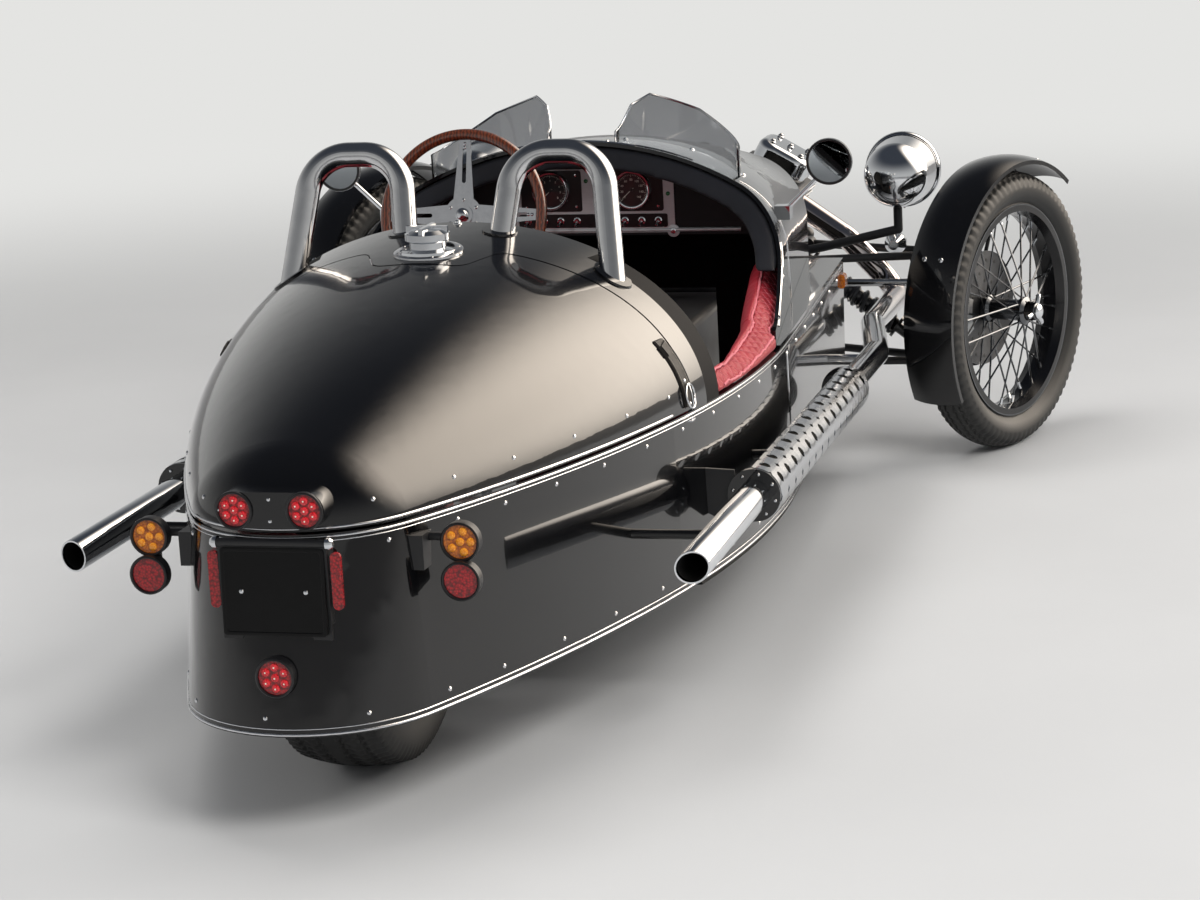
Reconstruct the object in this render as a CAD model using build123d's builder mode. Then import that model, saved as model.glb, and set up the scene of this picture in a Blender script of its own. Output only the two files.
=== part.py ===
"""Open two-seat three wheeler: two steered wire wheels in front, one driven wheel in the tail.

Millimetres. +X is the car's left, +Y its tail, +Z up. The origin is on the ground, at the
middle of the car's length and width. A station is a distance behind the front wheel line.
"""

import math
import os

from build123d import *

os.makedirs("parts", exist_ok=True)

# Layout on the road
DATUM_Y = -1250.0
REAR_AXLE_STATION = 2447.0
FRONT_WHEEL_PLANE = 800.0
KINGPIN_X = 705.0
KINGPIN_STATION = -35.0
STEER_AT_REST = -21.7
RUNNING_GAP = 0.5
SEAT_GAP = 0.3
MOVING_GAP = 5.0

# Front wheels, tall and narrow, on wire spokes
FRONT_TYRE_RADIUS = 338.0
FRONT_TYRE_WIDTH = 105.0
FRONT_BEAD_RADIUS = 247.0
FRONT_RIM_WIDTH = 76.0
FRONT_RIM_DEPTH = 14.0
FLANGE_HEIGHT = 12.0
FLANGE_THICKNESS = 3.7
SPOKES_PER_ROW = 9
SPOKE_RADIUS = 2.4
SPOKE_LEAN = 38.0
HUB_RADIUS = 34.0
HUB_BARREL = 26.0
CAP_RADIUS = 24.0
SPINDLE_RADIUS = 15.0
DISC_RADIUS = 140.0
DISC_THICKNESS = 6.0
DISC_INSET = 55.0

# Rear wheel, wide, inside the tail
REAR_TYRE_RADIUS = 310.0
REAR_TYRE_WIDTH = 195.0
REAR_BEAD_RADIUS = 192.0
REAR_RIM_WIDTH = 170.0
AXLE_RADIUS = 12.0
SWING_ARM_X = 128.0

# Mudguards and knuckles
GUARD_RADIUS = 378.0
GUARD_WIDTH = 130.0
GUARD_THICKNESS = 2.5
GUARD_AHEAD = 38.0
GUARD_SWEEP = 155.0
UPRIGHT_RADIUS = 17.0
UPRIGHT_BASE_Z = 215.5
UPRIGHT_TOP_Z = 459.5
BALL_BOSS_RADIUS = 20.0
BALL_BOSS_HEIGHT = 22.0
ARM_RADIUS = 11.0
STEERING_ARM_LENGTH = 120.0
STEERING_ARM_Z = 395.0
RACK_STATION = 79.0
RACK_Z = 420.0
RACK_ROD_RADIUS = 9.0
RACK_HOUSING_RADIUS = 22.0
PINION_END = (180.0, RACK_STATION + 46.0, RACK_Z + 23.0)

# Hull and panels
WALL = 12.0
PANEL = 8.0
SEAM_Z = 512.0
SKIRT_Z = 186.0
FLOOR_THICKNESS = 8.0
FLOOR_END_STATION = 1930.0
LID_GAP = 5.0
TAIL_CROWN = 0.687
HULL_FRONT_STATION = 300.0
HIP_STATION = 1250.0
QUARTER_STATION = 2007.0

# Cockpit
DECK_FRONT_STATION = 1797.0
RIM_STATION = 950.0
RIM_SWEEP_RADIUS = 400.0
RIM_CENTRE_Z = 950.0
ROLL_DEPTH = 52.0
ROLL_WIDTH = 58.0
ROLL_END_Z = 625.0
BULKHEAD_STATION = 330.0
BULKHEAD_THICKNESS = 6.0
DASH_STATION = 840.0
DASH_THICKNESS = 6.0
DASH_BASE_Z = 668.0
PANEL_Z = 745.0
PANEL_HEIGHT = 142.0
PANEL_WIDTH = 374.0
GAUGE_RADIUS = 42.0
GAUGE_X = 93.0
GAUGE_Z = 770.0
TUNNEL_WIDTH = 110.0
TUNNEL_TOP_Z = 340.0
SEAT_INNER_X = 62.0
SEAT_OUTER_X = 440.0

# Steering wheel, its hub at the driver's end of a leaning column
WHEEL_HUB = (224.0, 1085.0, 753.0)
COLUMN_LEAN = 16.1
COLUMN_KNEE_STATION = 400.0
WHEEL_RIM_RADIUS = 176.0
WHEEL_RIM_THICKNESS = 24.0
WHEEL_BOSS_RADIUS = 42.0
SPOKE_THICKNESS = 5.0
COLUMN_RADIUS = 14.0

# Frame of round tubes
RAIL_DIAMETER = 38.0
LOWER_RAIL_X = 165.0
LOWER_RAIL_Z = 225.0
UPPER_RAIL_X = 245.0
UPPER_RAIL_Z = 478.0
FRAME_NOSE_STATION = -312.0
PIVOT_STATION = 1860.0
PIVOT_Z = 300.0

# Engine, a wide V of two finned cylinders
ENGINE_STATION = -150.0
CRANK_Z = 300.0
BANK_ANGLE = 30.0
CASE_RADIUS = 125.0
CASE_FRONT_STATION = -270.0
CASE_REAR_STATION = 20.0
BARREL_BASE = 185.0
BARREL_TOP = 345.0
BARREL_RADIUS = 70.0
FIN_RADIUS = 92.0
FIN_COUNT = 8
HEAD_TOP = 425.0
COVER_TOP = 490.0

# Exhaust
PIPE_DIAMETER = 57.0
PIPE_WALL = 2.5
PIPE_X = 575.0
PIPE_Z = 343.0
TAILPIPE_END = 2385.0
SHIELD_START = 924.0
SHIELD_END = 1766.0
SHIELD_GAP = 6.0
SHIELD_THICKNESS = 2.0

# Roll hoops, filler, straps and tail fittings
HOOP_DIAMETER = 48.0
HOOP_RING = 10.0
HOOP_RING_HEIGHT = 5.0
HOOP_OUTER_FOOT = (320.0, 1875.0, 735.0)
HOOP_OUTER_BEND = (288.0, 1790.0, 982.0)
HOOP_INNER_BEND = (114.0, 1785.0, 982.0)
HOOP_INNER_FOOT = (94.0, 1843.0, 815.0)
HOOP_BEND_RADIUS = 80.0
FILLER_STATION = 1991.0
STRAP_THICKNESS = 4.0
HINGE_STATION = 2862.0
HINGE_Z = 503.0
HINGE_ROD_RADIUS = 7.0
HINGE_HALF = 93.0
LAMP_BAR_FACE = 2862.0
LAMP_BAR_Z = 556.0
LAMP_BAR_WIDTH = 187.0
LAMP_BAR_HEIGHT = 60.0
TAIL_LAMP_X = 60.0
TAIL_LAMP_RADIUS = 27.0
LENS_RECESS = 6.0
PLATE_WIDTH = 186.0
PLATE_HEIGHT = 160.0
LOW_LAMP_STATION = 2893.0
LOW_LAMP_Z = 286.0
LENS_RADIUS = 29.0
INDICATOR = (272.0, 2728.0, 473.0)
REFLECTOR = (273.0, 2740.0, 410.0)


def y_at(station):
    """Y of a station."""
    return DATUM_Y + station


def spot(x, station, z):
    """Point of the car from its offset, station and height."""
    return (x, y_at(station), z)


def mirrored(row, side):
    """A (x, station, z) row on the left, side +1, or on the right, side -1."""
    return spot(side * row[0], row[1], row[2])


def section_plane(station):
    """Upright plane across the car, X to the car's left and Z up, at a station."""
    return Plane(origin=(0, y_at(station), 0), x_dir=(1, 0, 0), z_dir=(0, -1, 0))


def tube(points, diameter, bend=0.0, bore=0.0):
    """A round bar or tube along straight runs joined by tangent arcs."""
    with BuildPart() as run:
        with BuildLine() as route:
            if bend:
                FilletPolyline(*points, radius=bend)
            else:
                Polyline(*points)
        with BuildSketch(Plane(origin=route.line @ 0, z_dir=route.line % 0)):
            Circle(diameter / 2)
            if bore:
                Circle(bore / 2, mode=Mode.SUBTRACT)
        sweep(path=route.line)
    return run.part


def bar(start, end, radius, sides=0):
    """A straight bar between two points, round or with a number of flats."""
    axis = Vector(*end) - Vector(*start)
    with BuildPart() as rod:
        with BuildSketch(Plane(origin=start, z_dir=axis)):
            if sides:
                RegularPolygon(radius, sides)
            else:
                Circle(radius)
        extrude(amount=axis.length)
    return rod.part


def pair(shape):
    """A left-hand piece together with its mirror image on the right."""
    with BuildPart() as both:
        add(shape)
        mirror(about=Plane.YZ)
    return both.part


def column_z(station):
    """Height of the upper steering column's axis at a station."""
    return WHEEL_HUB[2] - (WHEEL_HUB[1] - station) * math.tan(math.radians(COLUMN_LEAN))


def column_front(station):
    """Offset and height of the lower column, from its knee to the pinion, at a station."""
    share = (COLUMN_KNEE_STATION - station) / (COLUMN_KNEE_STATION - PINION_END[1])
    knee_z = column_z(COLUMN_KNEE_STATION)
    return (
        WHEEL_HUB[0] + (PINION_END[0] - WHEEL_HUB[0]) * share,
        knee_z + (PINION_END[2] - knee_z) * share,
    )


def write(name, piece):
    """Label a finished piece and write its file."""
    piece.part.label = name
    export_step(piece.part, f"parts/{name}.step")


# Plans of the hull, one row a level: its height, and its half widths at the front, the hip,
# the quarter and the shoulder of the tail, with the station of that shoulder.
SEAM_PLAN = (SEAM_Z, 455.0, 515.0, 455.0, 190.0, 2735.0)
SKIRT_PLAN = (SKIRT_Z, 450.0, 519.0, 462.0, 215.0, 2755.0)


def hull_plan(row, inset=0.0):
    """Closed outline of one level: straight flanks, then three arcs round the tail."""
    _, front, hip, quarter, shoulder, shoulder_station = row
    front, hip, quarter = front - inset, hip - inset, quarter - inset
    shoulder, shoulder_station = shoulder - inset * 0.8, shoulder_station - inset * 0.6
    with BuildLine() as outline:
        flank = Line(spot(-front, HULL_FRONT_STATION, 0)[:2], spot(-hip, HIP_STATION, 0)[:2])
        waist = TangentArc(flank @ 1, spot(-quarter, QUARTER_STATION, 0)[:2], tangent=flank % 1)
        haunch = TangentArc(waist @ 1, spot(-shoulder, shoulder_station, 0)[:2], tangent=waist % 1)
        tail = TangentArc(haunch @ 1, spot(shoulder, shoulder_station, 0)[:2], tangent=haunch % 1)
        mirror(flank, about=Plane.YZ)
        mirror(waist, about=Plane.YZ)
        mirror(haunch, about=Plane.YZ)
        Line(flank @ 0, (-(flank @ 0).X, (flank @ 0).Y))
    make_face(outline.edges())
    return (tail @ 0.5).Y


def hull_form(inset=0.0):
    """Solid between the skirt and the seam, drawn in from the hull by an inset."""
    with BuildPart() as form:
        for level in (SEAM_PLAN, SKIRT_PLAN):
            with BuildSketch(Plane.XY.offset(level[0])):
                hull_plan(level, inset)
        loft(ruled=True)
    return form.part


def tail_profile(inset):
    """Half of the tail's plan, from its axis outwards, for the turned upper panels."""
    _, front, hip, quarter, shoulder, shoulder_station = SEAM_PLAN
    front, hip, quarter = front - inset, hip - inset, quarter - inset
    shoulder, shoulder_station = shoulder - inset * 0.8, shoulder_station - inset * 0.6
    with BuildLine() as outline:
        flank = Line(
            spot(front, HULL_FRONT_STATION, 0)[:2],
            spot(hip, HIP_STATION, 0)[:2],
            mode=Mode.PRIVATE,
        )
        waist = TangentArc(flank @ 1, spot(quarter, QUARTER_STATION, 0)[:2], tangent=flank % 1)
        haunch = TangentArc(waist @ 1, spot(shoulder, shoulder_station, 0)[:2], tangent=waist % 1)
        round_tail = TangentArc(
            haunch @ 1,
            spot(-shoulder, shoulder_station, 0)[:2],
            tangent=haunch % 1,
            mode=Mode.PRIVATE,
        )
        tip = round_tail @ 0.5
        TangentArc(haunch @ 1, (0, tip.Y), tangent=haunch % 1)
        Line((0, tip.Y), (0, (waist @ 0).Y))
        Line((0, (waist @ 0).Y), waist @ 0)
    make_face(outline.edges())


def tail_dome(inset=0.0):
    """Upper half of the turned tail above the seam, flattened to its real crown."""
    with BuildPart() as dome:
        with BuildSketch(Plane.XY):
            tail_profile(inset)
        revolve(axis=Axis.Y, revolution_arc=360)
        split(bisect_by=Plane.XY, keep=Keep.TOP)
        scale(by=(1, 1, TAIL_CROWN))
    return dome.part.moved(Location((0, 0, SEAM_Z)))


# Hull: side walls and tail below the seam, one shell open above and below
with BuildPart() as lower_body:
    add(hull_form())
    add(hull_form(WALL), mode=Mode.SUBTRACT)
    with BuildSketch(section_plane(HULL_FRONT_STATION + 1)):
        with Locations((0, (SEAM_Z + SKIRT_Z) / 2)):
            Rectangle(2 * (SEAM_PLAN[1] - WALL - 1), SEAM_Z - SKIRT_Z)
    extrude(amount=20, both=True, mode=Mode.SUBTRACT)
write("lower_body", lower_body)

# Floor under the footwell and seats with its tunnel, stopping ahead of the rear wheel
with BuildPart() as floor_pan:
    with BuildSketch(Plane.XY.offset(SKIRT_Z - FLOOR_THICKNESS)):
        hull_plan(SKIRT_PLAN, 2.0)
        with Locations(spot(0, FLOOR_END_STATION + 600.0, 0)):
            Rectangle(1200, 1200, mode=Mode.SUBTRACT)
    extrude(amount=FLOOR_THICKNESS)
    with BuildSketch(section_plane(1650)):
        with Locations((0, TUNNEL_TOP_Z)):
            Rectangle(TUNNEL_WIDTH, TUNNEL_TOP_Z - SKIRT_Z + 1, align=(Align.CENTER, Align.MAX))
        with Locations((0, TUNNEL_TOP_Z - PANEL)):
            Rectangle(
                TUNNEL_WIDTH - 2 * PANEL,
                TUNNEL_TOP_Z - SKIRT_Z,
                align=(Align.CENTER, Align.MAX),
                mode=Mode.SUBTRACT,
            )
    extrude(amount=940)
write("floor_pan", floor_pan)

# Cowl sections, one row each: station, half width, height of the straight side above the
# seam, crown height, radius of the corner arc.
COWL_SECTIONS = (
    (250.0, 362.0, 95.0, 800.0, 160.0),
    (600.0, 408.0, 110.0, 860.0, 172.0),
    (950.0, 455.0, 129.0, 891.0, 181.0),
    (1350.0, 512.0, 60.0, 880.0, 190.0),
)
COWL_END_STATION = COWL_SECTIONS[-1][0]


def arch(half_width, side, crown, corner, inset=0.0):
    """Three-centred arch on straight sides, closed along the seam."""
    half_width, crown, corner = half_width - inset, crown - inset, corner - inset
    spring = SEAM_Z + side
    rise = crown - spring
    reach = half_width - corner
    big = (reach**2 + rise**2 - corner**2) / (2 * (rise - corner))
    big_centre = crown - big
    lean = math.atan2(spring - big_centre, reach)
    joint = (reach + corner * math.cos(lean), spring + corner * math.sin(lean))
    with BuildLine() as outline:
        left = Line((-half_width, SEAM_Z), (-half_width, spring))
        knee = TangentArc(left @ 1, (-joint[0], joint[1]), tangent=(0, 1))
        TangentArc(knee @ 1, joint, tangent=knee % 1)
        mirror(left, about=Plane.YZ)
        mirror(knee, about=Plane.YZ)
        Line((half_width, SEAM_Z), (-half_width, SEAM_Z))
    make_face(outline.edges())


def cowl_form(inset=0.0):
    """Solid under the cowl's skin, drawn in by an inset."""
    with BuildPart() as form:
        for station, half_width, side, crown, corner in COWL_SECTIONS:
            with BuildSketch(section_plane(station)):
                arch(half_width, side, crown, corner, inset)
        loft()
    return form.part


# Cut of the cowl's rim: upright at the top, then swept back along an arc to the hull
with BuildPart() as rim_cutter:
    with BuildSketch(Plane.YZ.offset(-600)):
        with BuildLine():
            rim_top = Line(
                (y_at(RIM_STATION), RIM_CENTRE_Z + 50), (y_at(RIM_STATION), RIM_CENTRE_Z)
            )
            rim_sweep = TangentArc(
                rim_top @ 1,
                (y_at(RIM_STATION + RIM_SWEEP_RADIUS), RIM_CENTRE_Z - RIM_SWEEP_RADIUS),
                tangent=(0, -1),
            )
            Polyline(
                rim_sweep @ 1,
                (y_at(COWL_END_STATION + 50), (rim_sweep @ 1).Y),
                (y_at(COWL_END_STATION + 50), RIM_CENTRE_Z + 50),
                rim_top @ 0,
            )
        make_face()
    extrude(amount=1200)

# Cowl from the engine to the cockpit
with BuildPart() as cowl:
    add(cowl_form())
    add(cowl_form(PANEL), mode=Mode.SUBTRACT)
    add(rim_cutter.part, mode=Mode.SUBTRACT)
write("cowl", cowl)

# Padded roll inside the cowl's rim
with BuildPart() as scuttle_roll:
    add(cowl_form(PANEL + SEAT_GAP))
    add(cowl_form(PANEL + SEAT_GAP + ROLL_DEPTH), mode=Mode.SUBTRACT)
    add(rim_cutter.part.moved(Location((0, -ROLL_WIDTH, 0))), mode=Mode.INTERSECT)
    add(rim_cutter.part, mode=Mode.SUBTRACT)
    split(bisect_by=Plane.XY.offset(ROLL_END_Z), keep=Keep.TOP)
write("scuttle_roll", scuttle_roll)

# Shelves beside the cowl that close the top of the hull
with BuildPart() as side_shelves:
    with BuildSketch(Plane.XY.offset(SEAM_Z)):
        hull_plan(SEAM_PLAN)
        with Locations(spot(0, COWL_END_STATION + 900, 0)):
            Rectangle(1200, 1800, mode=Mode.SUBTRACT)
    extrude(amount=PANEL)
    add(cowl_form(-SEAT_GAP), mode=Mode.SUBTRACT)
write("side_shelves", side_shelves)

# Padded side rolls of the cockpit: inner edge in plan, then top line in side view
PAD_INNER_EDGE = ((366.0, 895.0), (438.0, 1390.0), (459.0, 1650.0), (460.0, 1800.0))
PAD_TOP_LINE = ((895.0, 620.0), (960.0, 620.0), (1350.0, 566.0), (1650.0, 548.0), (1800.0, 556.0))
with BuildPart() as pad_space:
    add(cowl_form(PANEL + SEAT_GAP))
    with BuildSketch(Plane.XY.offset(SEAM_Z)):
        with Locations(spot(0, (COWL_END_STATION + DECK_FRONT_STATION - SEAT_GAP) / 2, 0)):
            Rectangle(1200, DECK_FRONT_STATION - SEAT_GAP - COWL_END_STATION)
    extrude(amount=200)

with BuildPart() as side_pads:
    with BuildSketch(Plane.XY.offset(SEAM_Z + SEAT_GAP)):
        hull_plan(SEAM_PLAN)
        with BuildLine():
            Polyline(
                spot(PAD_INNER_EDGE[0][0], 250, 0)[:2],
                *[spot(x, station, 0)[:2] for x, station in PAD_INNER_EDGE],
                spot(PAD_INNER_EDGE[-1][0], 3100, 0)[:2],
                *[
                    spot(-x, station, 0)[:2]
                    for x, station in ((PAD_INNER_EDGE[-1][0], 3100), *PAD_INNER_EDGE[::-1])
                ],
                spot(-PAD_INNER_EDGE[0][0], 250, 0)[:2],
                close=True,
            )
        make_face(mode=Mode.SUBTRACT)
    extrude(amount=150)
    with BuildSketch(Plane.YZ.offset(-600)):
        with BuildLine():
            Polyline(
                (y_at(PAD_TOP_LINE[0][0]), SEAM_Z),
                *[(y_at(station), z) for station, z in PAD_TOP_LINE],
                (y_at(PAD_TOP_LINE[-1][0]), SEAM_Z),
                close=True,
            )
        make_face()
    extrude(amount=1200, mode=Mode.INTERSECT)
    add(pad_space.part, mode=Mode.INTERSECT)
write("side_pads", side_pads)

# Bulkhead between the engine and the footwell, cut out for the gearbox and the column
with BuildPart() as cabin_space:
    add(hull_form(WALL + SEAT_GAP))
    add(cowl_form(PANEL + SEAT_GAP))

with BuildPart() as bulkhead:
    with BuildSketch(section_plane(BULKHEAD_STATION)):
        with Locations((0, LOWER_RAIL_Z + RAIL_DIAMETER / 2 + SEAT_GAP)):
            Rectangle(1000, 700, align=(Align.CENTER, Align.MIN))
        with Locations((0, LOWER_RAIL_Z)):
            Rectangle(300, 230, align=(Align.CENTER, Align.MIN), mode=Mode.SUBTRACT)
        with Locations(column_front(BULKHEAD_STATION)):
            Circle(COLUMN_RADIUS + 4, mode=Mode.SUBTRACT)
    extrude(amount=BULKHEAD_THICKNESS)
    add(cabin_space.part, mode=Mode.INTERSECT)
write("bulkhead", bulkhead)

# Dash across the cowl, ahead of the rim
with BuildPart() as dash_panel:
    with BuildSketch(section_plane(DASH_STATION + DASH_THICKNESS)):
        with Locations((0, DASH_BASE_Z)):
            Rectangle(1000, 300, align=(Align.CENTER, Align.MIN))
        with Locations((WHEEL_HUB[0], column_z(DASH_STATION))):
            Circle(COLUMN_RADIUS + 3, mode=Mode.SUBTRACT)
    extrude(amount=DASH_THICKNESS)
    add(cowl_form(PANEL + SEAT_GAP), mode=Mode.INTERSECT)
write("dash_panel", dash_panel)

# Aluminium instrument panel with its two round openings
PANEL_BACK = DASH_STATION + DASH_THICKNESS + SEAT_GAP
PANEL_PLATE = 3.0
with BuildPart() as instrument_panel:
    with BuildSketch(section_plane(PANEL_BACK + PANEL_PLATE)):
        with Locations((0, PANEL_Z)):
            RectangleRounded(PANEL_WIDTH, PANEL_HEIGHT, 8)
        with Locations((-GAUGE_X, GAUGE_Z), (GAUGE_X, GAUGE_Z)):
            Circle(GAUGE_RADIUS + SEAT_GAP, mode=Mode.SUBTRACT)
    extrude(amount=PANEL_PLATE)
write("instrument_panel", instrument_panel)

# Two round gauges in it
with BuildPart() as gauges:
    with BuildSketch(section_plane(PANEL_BACK + PANEL_PLATE + 10)):
        with Locations((-GAUGE_X, GAUGE_Z), (GAUGE_X, GAUGE_Z)):
            Circle(GAUGE_RADIUS)
    extrude(amount=PANEL_PLATE + 10)
    with BuildSketch(section_plane(PANEL_BACK + PANEL_PLATE + 10)):
        with Locations((-GAUGE_X, GAUGE_Z), (GAUGE_X, GAUGE_Z)):
            Circle(GAUGE_RADIUS - 5)
    extrude(amount=4, mode=Mode.SUBTRACT)
write("gauges", gauges)

# Seats: a cushion and a back on each side of the tunnel, below the line of the deck
CUSHION_PROFILE = ((1212, 244.3), (1208, 322), (1240, 352), (1604, 332), (1610, 244.3))
BACK_PROFILE = (
    (1611, 244.3),
    (1700, 244.3),
    (1784, 690),
    (1786, 770),
    (1756, 790),
    (1722, 775),
    (1690, 690),
    (1612, 345),
)
with BuildPart() as seats:
    with BuildSketch(Plane.YZ.offset(SEAT_INNER_X)):
        with BuildLine():
            Polyline(*[(y_at(station), z) for station, z in CUSHION_PROFILE], close=True)
        make_face()
        with BuildLine():
            Polyline(*[(y_at(station), z) for station, z in BACK_PROFILE], close=True)
        make_face()
    extrude(amount=SEAT_OUTER_X - SEAT_INNER_X)
    mirror(about=Plane.YZ)
    with BuildSketch(section_plane(1800)):
        with Locations((0, SEAM_Z)):
            Ellipse(SEAT_OUTER_X + 2, (SEAT_OUTER_X + 2) * TAIL_CROWN)
            Rectangle(2 * (SEAT_OUTER_X + 2), 400, align=(Align.CENTER, Align.MAX))
    extrude(amount=700, mode=Mode.INTERSECT)
write("seats", seats)

# Seam between the deck and the lid in plan, from the side to the dip round the filler
LID_SEAM = ((600.0, 1868.0), (440.0, 1925.0), (130.0, 1958.0), (85.0, 2060.0))
with BuildPart() as deck_region:
    with BuildSketch(Plane.XY):
        with BuildLine():
            Polyline(
                spot(LID_SEAM[0][0], 1600, 0)[:2],
                *[spot(x, station, 0)[:2] for x, station in LID_SEAM],
                *[spot(-x, station, 0)[:2] for x, station in LID_SEAM[::-1]],
                spot(-LID_SEAM[0][0], 1600, 0)[:2],
                close=True,
            )
        make_face()
        fillet(vertices().sort_by(Axis.Y)[-4:], 40)
    extrude(amount=1200)


def hoop(side, diameter):
    """One roll hoop, two legs and a round bend behind a seat."""
    return tube(
        [
            mirrored(HOOP_OUTER_FOOT, side),
            mirrored(HOOP_OUTER_BEND, side),
            mirrored(HOOP_INNER_BEND, side),
            mirrored(HOOP_INNER_FOOT, side),
        ],
        diameter,
        bend=HOOP_BEND_RADIUS,
    )


# Deck behind the seats, with a raised ring round each foot of the hoops
with BuildPart() as foot_rings:
    for side in (1, -1):
        for foot in (HOOP_OUTER_FOOT, HOOP_INNER_FOOT):
            with Locations(mirrored(foot, side)):
                Cylinder(HOOP_DIAMETER / 2 + HOOP_RING, 160)
    add(tail_dome(-HOOP_RING_HEIGHT), mode=Mode.INTERSECT)

with BuildPart() as rear_deck:
    add(tail_dome())
    add(deck_region.part, mode=Mode.INTERSECT)
    split(bisect_by=section_plane(DECK_FRONT_STATION), keep=Keep.BOTTOM)
    add(foot_rings.part)
    add(tail_dome(WALL), mode=Mode.SUBTRACT)
    for side in (1, -1):
        add(hoop(side, HOOP_DIAMETER + 2 * SEAT_GAP), mode=Mode.SUBTRACT)
write("rear_deck", rear_deck)

# Tail lid, the rest of the turned form
with BuildPart() as tail_lid:
    add(tail_dome())
    add(tail_dome(WALL), mode=Mode.SUBTRACT)
    add(deck_region.part.moved(Location((0, LID_GAP, 0))), mode=Mode.SUBTRACT)
    split(bisect_by=section_plane(DECK_FRONT_STATION), keep=Keep.BOTTOM)
    split(bisect_by=Plane.XY.offset(SEAM_Z + LID_GAP), keep=Keep.TOP)
    for side in (1, -1):
        with Locations(mirrored(HOOP_OUTER_FOOT, side)):
            Cylinder(HOOP_DIAMETER / 2 + HOOP_RING + LID_GAP, 400, mode=Mode.SUBTRACT)
write("tail_lid", tail_lid)

# Polished roll hoops
with BuildPart() as roll_hoops:
    for side in (1, -1):
        add(hoop(side, HOOP_DIAMETER))
write("roll_hoops", roll_hoops)

# Fuel filler: a turned flange and cap with four wings on top, radius and height of its outline
FILLER_BASE_Z = 790.0
FILLER_PROFILE = (
    (0.0, 0.0),
    (50.0, 0.0),
    (50.0, 40.0),
    (34.0, 44.0),
    (34.0, 56.0),
    (42.0, 60.0),
    (42.0, 72.0),
    (30.0, 78.0),
    (0.0, 82.0),
)
with BuildPart() as filler_cap:
    with BuildSketch(section_plane(FILLER_STATION)):
        with BuildLine():
            Polyline(*[(x, FILLER_BASE_Z + z) for x, z in FILLER_PROFILE], close=True)
        make_face()
    revolve(axis=Axis((0, y_at(FILLER_STATION), 0), (0, 0, 1)), revolution_arc=360)
    with Locations(spot(0, FILLER_STATION, FILLER_BASE_Z + 76)):
        Box(80, 8, 18)
        Box(8, 80, 18)
    add(tail_dome(-SEAT_GAP), mode=Mode.SUBTRACT)
write("filler_cap", filler_cap)

# Leather straps along the lid's front edge on both flanks
with BuildPart() as lid_straps:
    add(tail_dome(-SEAT_GAP - STRAP_THICKNESS))
    add(tail_dome(-SEAT_GAP), mode=Mode.SUBTRACT)
    with BuildSketch(Plane.XY.offset(SEAM_Z + LID_GAP + 8)):
        for side in (1, -1):
            with BuildLine():
                Polyline(
                    spot(side * 405, 1950, 0)[:2],
                    spot(side * 560, 1895, 0)[:2],
                    spot(side * 560, 1922, 0)[:2],
                    spot(side * 405, 1977, 0)[:2],
                    close=True,
                )
            make_face()
    extrude(amount=128, mode=Mode.INTERSECT)
write("lid_straps", lid_straps)

# Lamp bar on the tail of the lid
with BuildPart() as lamp_bar:
    with BuildSketch(section_plane(LAMP_BAR_FACE)):
        with Locations((0, LAMP_BAR_Z)):
            SlotOverall(LAMP_BAR_WIDTH, LAMP_BAR_HEIGHT)
    extrude(amount=90)
    add(tail_dome(-SEAT_GAP), mode=Mode.SUBTRACT)
    with BuildSketch(section_plane(LAMP_BAR_FACE)):
        with Locations((-TAIL_LAMP_X, LAMP_BAR_Z), (TAIL_LAMP_X, LAMP_BAR_Z)):
            Circle(TAIL_LAMP_RADIUS + SEAT_GAP)
    extrude(amount=LENS_RECESS + SEAT_GAP, mode=Mode.SUBTRACT)
write("lamp_bar", lamp_bar)

# Red tail lamps let into it
with BuildPart() as tail_lamps:
    with BuildSketch(section_plane(LAMP_BAR_FACE)):
        with Locations((-TAIL_LAMP_X, LAMP_BAR_Z), (TAIL_LAMP_X, LAMP_BAR_Z)):
            Circle(TAIL_LAMP_RADIUS)
    extrude(amount=LENS_RECESS)
write("tail_lamps", tail_lamps)

# Hinge rod on two lugs, with the blank plate panel hanging below it
with BuildPart() as plate_panel:
    add(
        bar(
            spot(-HINGE_HALF, HINGE_STATION, HINGE_Z),
            spot(HINGE_HALF, HINGE_STATION, HINGE_Z),
            HINGE_ROD_RADIUS,
        )
    )
    with Locations(spot(0, HINGE_STATION + 1, HINGE_Z - PLATE_HEIGHT / 2)):
        Box(PLATE_WIDTH, 5, PLATE_HEIGHT)
    for side in (1, -1):
        with Locations(spot(side * (PLATE_WIDTH / 2 - 4), HINGE_STATION - 20, HINGE_Z - 70)):
            Box(8, 44, 130)
    add(hull_form(-SEAT_GAP), mode=Mode.SUBTRACT)
write("plate_panel", plate_panel)

# Lamps below the seam: round lenses in turned shells, and the capsule reflectors of the plate
SHELL_DEPTH = 48.0
SHELL_WALL = 4.0
LOW_LAMP = (0.0, LOW_LAMP_STATION, LOW_LAMP_Z)
SIDE_MARKER = (458.0, 330.0, 470.0)


def lamp_shell(row, side):
    """A turned shell that tapers forward from its lens."""
    lens_centre = mirrored(row, side)
    with BuildPart() as shell:
        with BuildSketch(Plane(origin=lens_centre, x_dir=(1, 0, 0), z_dir=(0, 0, 1))):
            with BuildLine():
                Polyline(
                    (0, -SHELL_DEPTH),
                    (LENS_RADIUS * 0.55, -SHELL_DEPTH * 0.9),
                    (LENS_RADIUS + SHELL_WALL, -SHELL_DEPTH * 0.35),
                    (LENS_RADIUS + SHELL_WALL, 0),
                    (LENS_RADIUS + SEAT_GAP, 0),
                    (LENS_RADIUS + SEAT_GAP, -LENS_RECESS - SEAT_GAP),
                    (0, -LENS_RECESS - SEAT_GAP),
                    close=True,
                )
            make_face()
        revolve(axis=Axis(lens_centre, (0, 1, 0)), revolution_arc=360)
    return shell.part


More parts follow.
